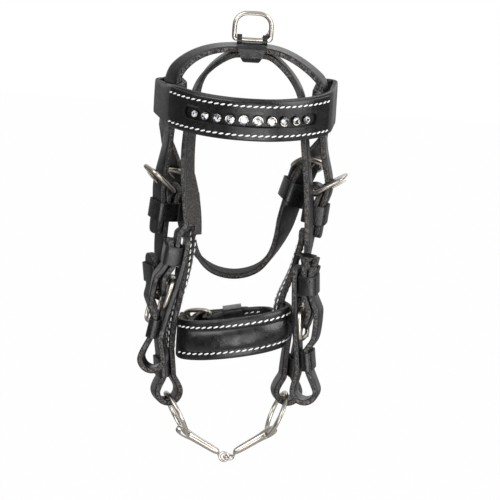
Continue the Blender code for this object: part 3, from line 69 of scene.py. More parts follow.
lens = bpy.data.cameras.new("product_camera")
lens.lens = 720.0
lens.sensor_width = 36.0
camera = bpy.data.objects.new("product_camera", lens)
bpy.context.scene.collection.objects.link(camera)
stand = AIM + Vector((0.0, -math.cos(RISE), math.sin(RISE))) * DISTANCE
camera.matrix_world = facing_bridle(stand) @ Matrix.Rotation(ROLL, 4, "Z")
bpy.context.scene.camera = camera
bpy.context.scene.view_settings.view_transform = "Standard"


# Floor: a plain sheet far below the bit. To the camera and through glass it is white, like the surround.
# In metal it is grey, and it takes the bridle's shadow.
class Shade:
    """A shader socket that is added, multiplied and so on like a number, in its own material's tree."""

    def __init__(self, tree, socket=None):
        self.tree = tree
        self.socket = socket

    def node(self, kind, inputs=None, output=0, **settings):
        """An output of a new node. Its settings are set first, then its sockets' values or links."""
        made = self.tree.nodes.new("ShaderNode" + kind)
        for key, value in settings.items():
            if key == "stops":
                for element, (place, grey) in zip(made.color_ramp.elements, value):
                    element.position = place
                    element.color = (grey, grey, grey, 1.0)
            else:
                setattr(made, key, value)
        for key, value in (inputs or {}).items():
            if isinstance(value, Shade):
                self.tree.links.new(value.socket, made.inputs[key])
            else:
                made.inputs[key].default_value = value
        return Shade(self.tree, made.outputs[output])

    def other(self, output):
        """Another output of the same node."""
        return Shade(self.tree, self.socket.node.outputs[output])

    def into(self, target):
        """Links this to a socket of a shader or of the output."""
        self.tree.links.new(self.socket, target)

    def maths(self, operation, *values):
        return self.node("Math", dict(enumerate(values)), operation=operation)

    def __add__(self, other):
        return self.maths("ADD", self, other)

    def __sub__(self, other):
        return self.maths("SUBTRACT", self, other)

    def __rsub__(self, other):
        return self.maths("SUBTRACT", other, self)

    def __mul__(self, other):
        return self.maths("MULTIPLY", self, other)

    __radd__ = __add__
    __rmul__ = __mul__

    def ramp(self, start, end):
        """A grey ramp of this value between two stops, each a place and a grey."""
        return self.node("ValToRGB", {0: self}, stops=(start, end))

    def mix(self, first, second):
        """The first colour where this mask is 0 and the second where it is 1: sockets 6 and 7 of Mix."""
        return self.node("Mix", {0: self, 6: first, 7: second}, output=2, data_type="RGBA")

    def mottle(self, scale, detail, roughness=0.5):
        """Cloudy noise at these coordinates."""
        return self.node("TexNoise", {"Vector": self, "Scale": scale, "Detail": detail,
                                      "Roughness": roughness})


def material(name):
    """A new material: its Principled shader and a handle to add nodes with."""
    made = bpy.data.materials.new(name)
    made.use_nodes = True
    return made, made.node_tree.nodes["Principled BSDF"], Shade(made.node_tree)


def finish_mesh(name, bm, finish):
    """The named object from a bmesh, with its one material."""
    mesh = bpy.data.meshes.new(name)
    bm.to_mesh(mesh)
    bm.free()
    mesh.materials.append(finish)
    piece = bpy.data.objects.new(name, mesh)
    bpy.context.scene.collection.objects.link(piece)
    return piece


FLOOR_BELOW = -0.60
FLOOR_HALF = 1.5
FLOOR_BACK = 0.9
FLOOR_GREY = (0.45, 0.45, 0.45, 1.0)
WHITE = (1.0, 1.0, 1.0, 1.0)
GLOW_SHARE = 0.99

floor_finish, floor_shader, tree = material("floor_white")
floor_shader.inputs["Base Color"].default_value = FLOOR_GREY
floor_shader.inputs["Roughness"].default_value = 0.9
camera_ray = tree.node("LightPath", output="Is Camera Ray")
seen = tree.maths("MAXIMUM", camera_ray, camera_ray.other("Is Transmission Ray"))
glow = tree.node("Emission", {"Color": WHITE, "Strength": 1.0})
grey = Shade(tree.tree, floor_shader.outputs["BSDF"])
blend = tree.node("MixShader", {0: seen * GLOW_SHARE, 1: grey, 2: glow})
blend.into(floor_finish.node_tree.nodes["Material Output"].inputs["Surface"])
bm = bmesh.new()
bmesh.ops.create_grid(bm, x_segments=1, y_segments=1, size=FLOOR_HALF,
                      matrix=Matrix.Translation((0.0, FLOOR_BACK, FLOOR_BELOW)))
floor = finish_mesh("floor", bm, floor_finish)

# Surround: white to the camera. In metal and through glass it is bright overhead and behind the bridle,
# as with a white backdrop, and dark below and in front. It lights the leather evenly and faintly.
EVEN_LIGHT = 0.38

world = bpy.data.worlds.new("white_surround")
bpy.context.scene.world = world
world.use_nodes = True
sky = Shade(world.node_tree)
camera_ray = sky.node("LightPath", output="Is Camera Ray")
through_glass = camera_ray.other("Is Transmission Ray")
mirrored = sky.maths("MAXIMUM", camera_ray.other("Is Glossy Ray"), through_glass)
# The first output of this node is the ray's own direction in a world.
direction = sky.node("TexCoord")
upward = sky.node("SeparateXYZ", {"Vector": direction}, output="Z")
overhead = (upward * 0.5 + 0.5).ramp((0.48, 0.11), (0.85, 0.66))
backdrop = (upward.other("Y") * 0.5 + 0.5).ramp((0.78, 0.0), (0.95, 0.85))
lit = mirrored * sky.maths("MAXIMUM", overhead, backdrop) + (1 - mirrored) * EVEN_LIGHT
surround = world.node_tree.nodes["Background"]
surround.inputs["Color"].default_value = WHITE
(camera_ray + (1 - camera_ray) * lit).into(surround.inputs["Strength"])

# Lamps: a large window above on the left and another on the right, a strip behind that draws the edges of
# the straps, and a card low in front that lights the faces turned to the viewer. All are soft.
for name, place, size, power in (("window_left", (-0.75, -0.80, 0.60), (1.1, 1.1), 13.5),
                                 ("window_right", (0.90, -0.55, 0.30), (0.8, 1.2), 14.0),
                                 ("strip_behind", (0.30, 0.75, 0.60), (1.0, 0.6), 3.0),
                                 ("card_in_front", (0.13, -0.95, -0.40), (0.70, 0.36), 3.8)):
    light = bpy.data.lights.new(name, "AREA")
    light.shape = "RECTANGLE"
    light.size, light.size_y = size
    light.energy = power
    lamp = bpy.data.objects.new(name, light)
    bpy.context.scene.collection.objects.link(lamp)
    lamp.matrix_world = facing_bridle(Vector(place))

# Black strap leather, cut from one hide: a satin grain side with fine pores and creases, a rough grey
# flesh side, and cut edges that show brown-grey fibres. The faces say which they are through the
# attributes cut and flesh.
LEATHER_BLACK = (0.0032, 0.0031, 0.0033, 1.0)
LEATHER_WORN = (0.014, 0.0135, 0.0135, 1.0)
EDGE_BROWN = (0.130, 0.119, 0.110, 1.0)
EDGE_DYED = (0.016, 0.015, 0.015, 1.0)
EDGE_DARK = (0.0045, 0.0042, 0.0042, 1.0)
FLESH_GREY = (0.085, 0.077, 0.071, 1.0)
FLESH_BROWN = (0.030, 0.024, 0.021, 1.0)
CREASE_ROUGHNESS = 0.52
CLOUD_ROUGHNESS = 0.20
WORN_ROUGHNESS = 0.12
RAW_ROUGHNESS = 0.78
PORE_DEPTH = 0.16
CREASE_DEPTH = 0.42
RAW_DEPTH = 1.3


def leather(name, gloss, grain, wear, edge_fibre=EDGE_BROWN, flesh_fibre=FLESH_GREY):
    """Gloss is the grain side's roughness, grain how deep its pores are, and wear how rubbed it is."""
    made, shader, tree = material(name)
    place = tree.node("TexCoord", output="Object")
    cut = tree.node("Attribute", output="Fac", attribute_name="cut")
    flesh = tree.node("Attribute", output="Fac", attribute_name="flesh")
    raw = tree.maths("MAXIMUM", cut, flesh)
    pores = tree.node("TexVoronoi", {"Vector": place, "Scale": 1900.0, "Smoothness": 0.6},
                      feature="SMOOTH_F1")
    creases = place.mottle(430.0, 6.0, 0.66)
    cloud = place.mottle(95.0, 3.0)
    fibre = place.mottle(1700.0, 4.0, 0.72)
    worn = cloud.ramp((0.50, 0.0), (0.78, 1.0)) * wear
    fibres = fibre.ramp((0.47, 0.0), (0.60, 1.0))
    grained = worn.mix(LEATHER_BLACK, LEATHER_WORN)
    suede = fibres.mix(EDGE_DARK, flesh_fibre)
    edge = fibres.mix(EDGE_DARK, edge_fibre)
    cut.mix(flesh.mix(grained, suede), edge).into(shader.inputs["Base Color"])
    uneven = (creases - 0.5) * CREASE_ROUGHNESS + (cloud - 0.5) * CLOUD_ROUGHNESS
    smooth = gloss + uneven + worn * WORN_ROUGHNESS
    tree.maths("MAXIMUM", smooth, raw * RAW_ROUGHNESS).into(shader.inputs["Roughness"])
    shader.inputs["Specular IOR Level"].default_value = 0.55
    shader.inputs["Sheen Weight"].default_value = 0.02
    grain_height = pores * (PORE_DEPTH * grain) + creases * CREASE_DEPTH
    height = (1 - raw) * grain_height + raw * fibre * RAW_DEPTH
    bump = tree.node("Bump", {"Strength": 0.65, "Distance": 0.00036, "Height": height})
    bump.into(shader.inputs["Normal"])
    return made


STRAP_LEATHER = leather("strap_leather", 0.34, 1.0, 0.55)
SOFT_LEATHER = leather("soft_leather", 0.30, 0.7, 0.35, edge_fibre=EDGE_DYED)
THROAT_LEATHER = leather("throat_leather", 0.34, 1.0, 0.55, flesh_fibre=FLESH_BROWN)

BODIES = frame["record"]["behaviour"]["bodies"]
BODY_OF = {node: body for body, nodes in BODIES.items() for node in nodes}
MERGE_WITHIN = 0.000002
FACET_BEND = math.radians(0.6)
FACET_JOIN = math.radians(12)
FACET_SKEW = math.radians(60)
SHARP_BEND = math.radians(65)
EDGE_BEND = math.radians(70)
SOFT_CREASE = 0.35
CUT_DEPTH = 1.75
SKIN = 0.00001
FLESH_FACING = 0.35
HEAD_MIDDLE_Y = 0.002
POLL_Z = -0.050


def merged_copy(node, flat_within):
    """The CAD node's mesh, with its loose triangles merged into whole faces."""
    bm = bmesh.new()
    bm.from_mesh(frame["nodes"][node].data)
    bmesh.ops.remove_doubles(bm, verts=bm.verts, dist=MERGE_WITHIN)
    bmesh.ops.dissolve_limit(bm, angle_limit=flat_within, verts=bm.verts, edges=bm.edges)
    return bm


def stand_in(node, ending, bm, finish):
    """The smooth, rounded piece that stands for a CAD node and rides on its body."""
    piece = finish_mesh(node + ending, bm, finish)
    piece.data.shade_smooth()
    rounding = piece.modifiers.new("rounding", "SUBSURF")
    rounding.levels = rounding.render_levels = 2
    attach(piece, BODY_OF[node])
    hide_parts(node)
    return piece


def inwards(node, spot):
    """From a spot of the strap to the head's upright middle line, and downwards where it is on the poll."""
    if node == "throatlash":
        return Vector((-spot.x, 0.0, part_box(node)[1][2] - spot.z))
    return Vector((-spot.x, HEAD_MIDDLE_Y - spot.y, min(POLL_Z - spot.z, 0.0)))


def mark_hide(bm, node, thickness, flesh_shows):
    """Marks the cut edges, under which the strap is deeper than it is thick, and the inner, flesh side."""
    cut = bm.faces.layers.float.new("cut")
    flesh = bm.faces.layers.float.new("flesh")
    if not thickness:
        return
    walls = BVHTree.FromBMesh(bm)
    for face in bm.faces:
        middle = face.calc_center_median()
        _, _, _, depth = walls.ray_cast(middle - face.normal * SKIN, -face.normal)
        if depth is None or depth > CUT_DEPTH * thickness:
            face[cut] = 1.0
        elif flesh_shows and inwards(node, middle).normalized().dot(face.normal) > FLESH_FACING:
            face[flesh] = 1.0


def dressed_copy(node, finish, thickness=None, flesh_shows=False, shape=None, crease_from=38):
    """A rounded copy of a CAD strap that stands for it, with its cut edges and its flesh side marked."""
    bm = merged_copy(node, FACET_BEND)
    bmesh.ops.triangulate(bm, faces=[face for face in bm.faces if len(face.verts) > 4])
    bmesh.ops.join_triangles(bm, faces=bm.faces, angle_face_threshold=FACET_JOIN,
                             angle_shape_threshold=FACET_SKEW)
    if shape:
        shape(bm)
    crease = bm.edges.layers.float.new("crease_edge")
    for edge in bm.edges:
        bend = edge.calc_face_angle(0.0)
        edge[crease] = 1.0 if bend > EDGE_BEND else SOFT_CREASE if bend > math.radians(crease_from) else 0.0
    mark_hide(bm, node, thickness, flesh_shows)
    stand_in(node, "_dressed", bm, finish).data.set_sharp_from_angle(angle=SHARP_BEND)


# Crown: the two headpieces run over the poll inside a leather loop, whose ears hold the ring's bar. The
# outer one splits on each side into the cheek billet and the throatlash billet.
CROWN_FRONT = -0.0010
CROWN_SHARE = 0.50
CROWN_FROM = -0.041
CROWN_TAPER = 0.016
LOOP_FOOT = 0.0085
LOOP_FOOT_WIDTH = 0.50
LOOP_CUTS = (0.03, 0.09, 0.18, 0.32, 0.50, 0.72, 1.0)


def clamped(share):
    return min(max(share, 0.0), 1.0)


def eased(share):
    """The share between 0 and 1, with a slow start and end."""
    share = clamped(share)
    return share * share * (3 - 2 * share)


def narrow_crown(bm):
    """The headpiece is cut narrower over the poll: its rear edge comes forward there."""
    for vert in bm.verts:
        behind = vert.co.y - CROWN_FRONT
        if behind > 0.0:
            share = eased((vert.co.z - CROWN_FROM) / CROWN_TAPER)
            vert.co.y = CROWN_FRONT + behind * (1 - (1 - CROWN_SHARE) * share)


def rounded_loop(bm):
    """The loop is pulled tight round the narrower crown, and its foot is rounded off."""
    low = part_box("crown_loop")[0][2]
    for share in LOOP_CUTS:
        bmesh.ops.bisect_plane(bm, geom=bm.verts[:] + bm.edges[:] + bm.faces[:], dist=0.0000001,
                               plane_co=(0.0, 0.0, low + LOOP_FOOT * share), plane_no=(0.0, 0.0, 1.0))
    for vert in bm.verts:
        behind = vert.co.y - CROWN_FRONT
        if behind > 0.0:
            vert.co.y = CROWN_FRONT + behind * CROWN_SHARE
        height = clamped((vert.co.z - low) / LOOP_FOOT)
        vert.co.x *= LOOP_FOOT_WIDTH + (1 - LOOP_FOOT_WIDTH) * math.sqrt(1 - (1 - height) ** 2)


dressed_copy("crown_loop", STRAP_LEATHER, thickness=0.0012, shape=rounded_loop)
dressed_copy("headpiece", STRAP_LEATHER, thickness=0.0025, flesh_shows=True, shape=narrow_crown)
dressed_copy("inner_headpiece", STRAP_LEATHER, thickness=0.0024, flesh_shows=True)

# Straps of the cheeks, throat and chin, folded round their rings and buckled, and the thin chapes that
# hold the middle buckles. Only the throatlash shows its flesh side, and a browner one than the crown's.
for name in sorted(frame["nodes"]):
    if name == "throatlash":
        dressed_copy(name, THROAT_LEATHER, thickness=0.0024, flesh_shows=True)
    elif "cheekpiece" in name or name.startswith("chin_strap"):
        dressed_copy(name, STRAP_LEATHER, thickness=0.0024)
    elif name.endswith(("chape_left", "chape_right")):
        dressed_copy(name, STRAP_LEATHER, thickness=0.0008)

# Keepers: narrow strips of thin leather, closed into loops round the straps. The two on the throatlash
# are a little wider than in the CAD, so that they still clear their rounded straps when they slide.
KEEPER_EASE = 1.045


def eased_loop(bm):
    """The loop swells a little about its middle."""
    middle = sum((vert.co for vert in bm.verts), Vector()) / len(bm.verts)
    for vert in bm.verts:
        vert.co = middle + (vert.co - middle) * KEEPER_EASE


for name in sorted(frame["nodes"]):
    if "keeper" in name:
        shape = eased_loop if name.startswith("throatlash") else None
        dressed_copy(name, SOFT_LEATHER, thickness=0.0009, shape=shape, crease_from=50)

# Nickel-plated wire: the hanging ring, the buckles and their tongues, and the bit's rings. Each is bent
# from round wire, so the CAD's flat-sided bar is rounded out to its own diameter.
NICKEL_DARK = (0.42, 0.385, 0.335, 1.0)
NICKEL_LIGHT = (0.60, 0.565, 0.51, 1.0)
SCUFF_ROUGHNESS = 0.10


def nickel(name, polish):
    """Warm white metal: polish is its roughness, to which the scuffs add."""
    made, shader, tree = material(name)
    place = tree.node("TexCoord", output="Object")
    place.mottle(70.0, 2.0).mix(NICKEL_DARK, NICKEL_LIGHT).into(shader.inputs["Base Color"])
    shader.inputs["Metallic"].default_value = 1.0
    (polish + place.mottle(420.0, 5.0, 0.6) * SCUFF_ROUGHNESS).into(shader.inputs["Roughness"])
    return made


NICKEL = nickel("nickel_plate", 0.25)
WIRE_BEND = math.radians(6)
WIRE_GAIN = 0.93
# Each wire's diameter and the flat sides of its bar in the CAD. The bit's rings are swelled a little less
# than the rest.
WIRES = (("hang_ring", 0.00185, 10), ("buckle_frame", 0.0018, 6), ("buckle_tongue", 0.0010, 6),
         ("bit_ring", 0.00161, 8))


def rounded_wire(node, diameter, sides):
    """The node's bar of so many flat sides, swelled so that its smooth round wire keeps its diameter."""
    bm = merged_copy(node, WIRE_BEND)
    bm.normal_update()
    shrink = (2 + math.cos(2 * math.pi / sides)) / 3
    swell = diameter / 2 * (1 / shrink - 1) * WIRE_GAIN
    for vert in bm.verts:
        vert.co += vert.normal * swell
    stand_in(node, "_round", bm, NICKEL)


for kind, diameter, sides in WIRES:
    for name in sorted(frame["nodes"]):
        if kind in name:
            rounded_wire(name, diameter, sides)

# Bit: two plain nickel bars with a slotted heel on each ring, joined in the middle by their wire eyes.
# They are cast, so the CAD's own shape only has its facets rounded off.
for name in ("bit_arm_left", "bit_arm_right"):
    dressed_copy(name, NICKEL, crease_from=50)

# The lines that the bands are sewn along, in millimetres, with the CAD's points and the shift that
# balances the head on its ring: the browband, then the noseband, which hangs lower on the left. Every
# stitch, stone and pad is placed by a distance along its line.
HEAD_BALANCE = Vector((0.0, 1.8, 0.0))


def close_points(points, per_span=14):
    """Points close together on the smooth curve through the given ones."""
    ends = [points[0] * 2 - points[1]] + points + [points[-1] * 2 - points[-2]]
    samples = []
    for i in range(1, len(ends) - 2):
        a, b, c, d = ends[i - 1:i + 3]
        first, middle, last = (max(math.sqrt((q - p).length), 0.01) for p, q in ((a, b), (b, c), (c, d)))
        leave = ((b - a) / first - (c - a) / (first + middle) + (c - b) / middle) * middle
        arrive = ((c - b) / middle - (d - b) / (middle + last) + (d - c) / last) * middle
        for k in range(per_span):
            t = k / per_span
            samples.append((2 * t ** 3 - 3 * t ** 2 + 1) * b + (t ** 3 - 2 * t ** 2 + t) * leave
                           + (3 * t ** 2 - 2 * t ** 3) * c + (t ** 3 - t ** 2) * arrive)
    return samples + [points[-1]]


def hung(plan, height, slope=0.0):
    """The points of a plan at their height, which rises by the slope towards the right."""
    return [(x, y, height + slope * x) for x, y in plan]


class Line:
    """A strap's middle line, with the way its grain faces: s along, o out of the grain, w across."""

    def __init__(self, points, outs):
        self.points = close_points([Vector(point) + HEAD_BALANCE for point in points])
        self.outs = close_points([Vector(out).normalized() for out in outs])
        self.lengths = [0.0]
        for a, b in zip(self.points, self.points[1:]):
            self.lengths.append(self.lengths[-1] + (b - a).length)
        self.length = self.lengths[-1]

    def matrix(self, s, o=0.0, w=0.0):
        """In metres: X across the strap, Y out of its grain, Z along it. s, o and w are in millimetres."""
        s = min(max(s, 0.0), self.length)
        i = 0
        while i < len(self.lengths) - 2 and self.lengths[i + 1] < s:
            i += 1
        t = (s - self.lengths[i]) / max(self.lengths[i + 1] - self.lengths[i], 0.0001)
        along = (self.points[min(i + 2, len(self.points) - 1)] - self.points[max(i - 1, 0)]).normalized()
        out = self.outs[i].lerp(self.outs[i + 1], t)
        out = (out - along * out.dot(along)).normalized()
        across = out.cross(along)
        place = self.points[i].lerp(self.points[i + 1], t) + out * o + across * w
        return Matrix.Translation(place / 1000) @ Matrix((across, out, along)).transposed().to_4x4()


BROW_HEIGHT = -37.0
BROW_PLAN = [(-36.77, 12.77), (-35.06, 6.81), (-33.36, 0.9), (-32.16, -3.28), (-27.8, -12.0),
             (-20.0, -19.8), (-10.0, -24.7), (1.0, -26.2), (11.6, -24.6), (21.2, -19.4), (28.6, -11.8),
             (32.57, -3.0), (33.02, 1.33), (33.67, 7.44), (34.31, 13.61)]
BROW_FRONT = [(x, y, 0) for x, y in BROW_PLAN[4:11]]
BROW = Line(hung(BROW_PLAN, BROW_HEIGHT),
            [(-0.961, -0.276, 0)] * 4 + BROW_FRONT + [(0.995, -0.105, 0)] * 4)
NOSE_HEIGHT = -127.6
NOSE_SLOPE = 0.19
NOSE_PLAN = [(-21.2, 0.0), (-22.1, -6.0), (-20.6, -13.0), (-14.6, -18.4), (-6.0, -21.2), (3.0, -21.6),
             (12.0, -19.6), (18.6, -14.8), (20.9, -9.2), (19.6, -4.5), (18.4, -1.0), (17.8, 1.5)]
NOSE = Line(hung(NOSE_PLAN, NOSE_HEIGHT, NOSE_SLOPE),
            [(-1.0, 0.05, 0), (-0.99, -0.10, 0), (-0.85, -0.50, 0), (-0.45, -0.90, 0), (-0.20, -0.98, 0),
             (0.05, -1.0, 0), (0.40, -0.92, 0), (0.80, -0.60, 0), (1.0, -0.05, 0), (0.95, 0.28, 0),
             (0.96, 0.26, 0), (0.97, 0.24, 0)])

# Stitching: thick white linen thread, sewn by hand with a slant, so that each stitch lies askew in its
# own two holes and sinks into the leather at both ends.
THREAD_GREY = (0.74, 0.735, 0.72, 1.0)
THREAD_WHITE = (0.90, 0.895, 0.88, 1.0)
STITCH_PITCH = 2.45
STITCH_LENGTH = 2.20
STITCH_WIDTH = 0.66
STITCH_DEPTH = 0.60
STITCH_SLANT = 16.0
UNEVEN_ALONG = 0.15
UNEVEN_ACROSS = 0.10
UNEVEN_SLANT = 6.0
HEAD = "headstall"


def thread():
    """Waxed linen thread, with its strands as a fine bump."""
    made, shader, tree = material("white_linen_thread")
    place = tree.node("TexCoord", output="Object")
    place.mottle(260.0, 2.0).mix(THREAD_GREY, THREAD_WHITE).into(shader.inputs["Base Color"])
    shader.inputs["Roughness"].default_value = 0.72
    strands = place.mottle(3800.0, 3.0)
    bump = tree.node("Bump", {"Strength": 0.5, "Distance": 0.00012, "Height": strands})
    bump.into(shader.inputs["Normal"])
    return made


LINEN = thread()


def stitches(name, line, start, end, o, across, slant=STITCH_SLANT, scale=1.0):
    """One row of slanted stitches between two distances along a line."""
    bm = bmesh.new()
    half = Vector((STITCH_WIDTH * scale, STITCH_DEPTH, STITCH_LENGTH * scale)) / 2000
    size = Matrix.Diagonal(half.to_4d())
    count = int((end - start) / STITCH_PITCH)
    for k in range(count + 1):
        uneven = noise(Vector((k * 1.7, across, start)))
        s = start + (end - start) * k / count
        spot = line.matrix(s + uneven * UNEVEN_ALONG, o, across + uneven * UNEVEN_ACROSS)
        askew = Matrix.Rotation(math.radians(slant + uneven * UNEVEN_SLANT), 4, "Y")
        bmesh.ops.create_icosphere(bm, subdivisions=2, radius=1.0, matrix=spot @ askew @ size)
    row = finish_mesh(name, bm, LINEN)
    row.data.shade_smooth()
    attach(row, HEAD)


# Browband: a wide strap whose ends are folded round the headpiece and sewn, and on it a raised layer with
# a long slot, sewn on with one row of stitches above the slot and one below.
TRIM_DEPTH = 0.0034
TRIM_FROM = -0.0290
TRIM_TAPER = 0.0060
BAND_THICKNESS = 2.0
OVERLAY_THICKNESS = 1.2
FIT_GAP = 0.3
BAND_FACE = BAND_THICKNESS / 2 + FIT_GAP
OVERLAY_FACE = BAND_FACE + OVERLAY_THICKNESS
BROW_ROWS_FROM = 24.6
BROW_ROWS_TO = BROW.length - BROW_ROWS_FROM


def trimmed_band(bm):
    """The band's left end is pared down along its top, where it goes round the headpiece."""
    low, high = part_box("browband")
    for vert in bm.verts:
        share = eased((TRIM_FROM - vert.co.x) / TRIM_TAPER)
        height = clamped((vert.co.z - low[2]) / (high[2] - low[2]))
        vert.co.z -= TRIM_DEPTH * share * height


dressed_copy("browband", STRAP_LEATHER, thickness=BAND_THICKNESS / 1000, flesh_shows=True,
             shape=trimmed_band)
dressed_copy("browband_overlay", SOFT_LEATHER, thickness=OVERLAY_THICKNESS / 1000, flesh_shows=True)
for edge, across in (("upper", 6.0), ("lower", -5.9)):
    stitches("browband_stitches_" + edge, BROW, BROW_ROWS_FROM, BROW_ROWS_TO, OVERLAY_FACE, across)

# Stones: cut glass with a flat table and eight kite facets, foiled behind, and pressed into bright metal
# cups in the slot. The bright and dark reflections of the foil that the facets show are painted into the
# glass's colour.
# Colours of the painted reflections in the stones' facets, dark and bright.
PAINTED_REFLECTION_DARK = (0.020, 0.021, 0.024, 1.0)
PAINTED_REFLECTION_BRIGHT = (0.86, 0.88, 0.92, 1.0)
FOIL_METAL = 0.35


def glass():
    """Foiled glass: each cell is a painted reflection of the foil in a facet, dark or bright."""
    made, shader, tree = material("clear_glass")
    place = tree.node("TexCoord", output="Object")
    cell = tree.node("TexVoronoi", {"Vector": place, "Scale": 1100.0}, output="Color", feature="F1")
    # Painted reflection: each random cell is painted dark or bright, and is a little metallic where it is
    # bright.
    painted_glint = tree.node("SeparateColor", {"Color": cell}).ramp((0.43, 0.0), (0.54, 1.0))
    painted_glint.mix(PAINTED_REFLECTION_DARK, PAINTED_REFLECTION_BRIGHT).into(shader.inputs["Base Color"])
    (painted_glint * FOIL_METAL).into(shader.inputs["Metallic"])
    shader.inputs["Roughness"].default_value = 0.04
    shader.inputs["IOR"].default_value = 1.9
    shader.inputs["Coat Weight"].default_value = 0.6
    return made


GLASS = glass()
CUP_METAL = nickel("cup_plate", 0.08)
STONES = 10
STONES_MIDDLE = BROW.length / 2 + 1.0
STONE_PITCHES = (5.3, 5.25, 5.15, 5.0, 4.7)
STONE_RADII = (1.95, 1.88, 1.76, 1.60, 1.35)
STONE_TURN = 0.41
STONE_SIDES = 8
GIRDLE_HEIGHT = 0.75
CUP_SIDES = 20
CUP_BEND = math.radians(40)
CUP_PROFILE = ((0.05, 0.05), (0.22, 0.20), (0.25, 0.55), (0.12, 0.78), (-0.05, 0.76), (-0.12, 0.45),
               (-0.9, 0.20))
STONE_PROFILE = ((0.12, -0.40, 0.0), (0.96, 0.0, 0.0), (0.96, 0.12, 0.0),
                 (0.80, 0.62, math.pi / STONE_SIDES), (0.55, 0.95, 0.0))


def stone_place(k):
    """Distance along the band and radius of stone k: they are largest and furthest apart in the middle."""
    half = STONES // 2
    rank = half - 1 - k if k < half else k - half
    reach = STONE_PITCHES[0] / 2 + sum(STONE_PITCHES[1:rank + 1])
    return STONES_MIDDLE + (reach if k >= half else -reach), STONE_RADII[rank]


def rim_of(verts):
    """The edges of a ring of vertices that isn't joined to anything yet."""
    return list({edge for vert in verts for edge in vert.link_edges})


def join_rims(bm, rims, sides):
    """A closed solid through rims that follow each other."""
    for low, high in zip(rims, rims[1:]):
        bmesh.ops.bridge_loops(bm, edges=low + high)
    bmesh.ops.holes_fill(bm, edges=rims[0] + rims[-1], sides=sides)


def turned_solid(bm, along, out, sides, profile):
    """A solid on the browband, through rims of a radius, a height and a turn, in millimetres."""
    spot = BROW.matrix(along, out) @ Matrix.Rotation(math.radians(-90), 4, "X")
    rims = []
    for radius, height, turn in profile:
        place = Matrix.Translation((0.0, 0.0, height / 1000)) @ Matrix.Rotation(turn, 4, "Z")
        ring = bmesh.ops.create_circle(bm, segments=sides, radius=radius / 1000, matrix=spot @ place)
        rims.append(rim_of(ring["verts"]))
    join_rims(bm, rims, sides)


def gem_cups():
    """The cups, pressed through the band: each rim stands a little outside or inside the stone's edge."""
    bm = bmesh.new()
    for k in range(STONES):
        along, stone = stone_place(k)
        profile = [(stone + proud, height, 0.0) for proud, height in CUP_PROFILE]
        turned_solid(bm, along, BAND_FACE, CUP_SIDES, profile)
    bmesh.ops.recalc_face_normals(bm, faces=bm.faces)
    cups = finish_mesh("stone_cups", bm, CUP_METAL)
    cups.data.shade_smooth()
    cups.data.set_sharp_from_angle(angle=CUP_BEND)
    return cups


def gem_stones():
    """The stones: foiled back, girdle, and kite facets up to the table, each stone turned its own way."""
    bm = bmesh.new()
    for k in range(STONES):
        along, stone = stone_place(k)
        profile = [(share * stone, height, turn + k * STONE_TURN) for share, height, turn in STONE_PROFILE]
        turned_solid(bm, along, BAND_FACE + GIRDLE_HEIGHT, STONE_SIDES, profile)
    bmesh.ops.triangulate(bm, faces=[face for face in bm.faces if len(face.verts) == 4])
    bmesh.ops.recalc_face_normals(bm, faces=bm.faces)
    return finish_mesh("browband_stones", bm, GLASS)


for piece in (gem_cups(), gem_stones()):
    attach(piece, HEAD)
    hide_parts("crystal_chain")

# Noseband: a flat strap with a soft pad of thinner leather sewn on its middle between two rows of
# stitches. The pad is stuffed, so it is highest along its middle and pulls in towards the stitches.
NOSE_THICKNESS = 2.2
NOSE_FACE = NOSE_THICKNESS / 2
PAD_FROM = 16.0
PAD_TO = NOSE.length - 15.0
PAD_HALF = 4.45
PAD_HEIGHT = 1.75
PAD_ROUND_END = 3.4
PAD_END_HEIGHT = 0.35
PAD_SWELL = 0.16
PAD_SIDE_POWER = 0.8
PAD_CROWN_POWER = 0.75
PAD_SIDES = 24
PAD_STEPS = 56
NOSE_ROWS_FROM = PAD_FROM - 3.0
NOSE_ROWS_TO = PAD_TO + 2.5

dressed_copy("noseband", STRAP_LEATHER, thickness=NOSE_THICKNESS / 1000, flesh_shows=True)
for edge, across in (("upper", 5.3), ("lower", -5.3)):
    stitches("noseband_stitches_" + edge, NOSE, NOSE_ROWS_FROM, NOSE_ROWS_TO, NOSE_FACE, across)


def stuffed_pad():
    """The pad: a crowned section drawn along the noseband, narrowing to a round end at both ends."""
    bm = bmesh.new()
    rims = []
    for k in range(PAD_STEPS + 1):
        s = PAD_FROM + (PAD_TO - PAD_FROM) * k / PAD_STEPS
        end = min(s - PAD_FROM, PAD_TO - s)
        shrink = math.sqrt(max(1 - (1 - min(end / PAD_ROUND_END, 1.0)) ** 2, 0.02))
        ring = bmesh.ops.create_circle(bm, segments=PAD_SIDES, radius=1.0)["verts"]
        for vert in ring:
            side, rise, _ = vert.co
            above = max(rise, 0.0)
            across = PAD_HALF * shrink * math.copysign(abs(side) ** PAD_SIDE_POWER, side)
            height = PAD_HEIGHT * (PAD_END_HEIGHT + (1 - PAD_END_HEIGHT) * shrink)
            crown = height * above ** PAD_CROWN_POWER
            swell = PAD_SWELL * noise(Vector((s * 0.35, across * 0.5, 3.0))) * above
            foot = 0.05 if rise >= 0 else 0.02
            vert.co = NOSE.matrix(s, NOSE_FACE + foot + crown + swell, across).translation
        rims.append(rim_of(ring))
    join_rims(bm, rims, PAD_SIDES)
    bmesh.ops.recalc_face_normals(bm, faces=bm.faces)
    made = finish_mesh("noseband_stuffed_pad", bm, SOFT_LEATHER)
    made.data.shade_smooth()
    return made


pad = stuffed_pad()
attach(pad, HEAD)
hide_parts("noseband_pad")

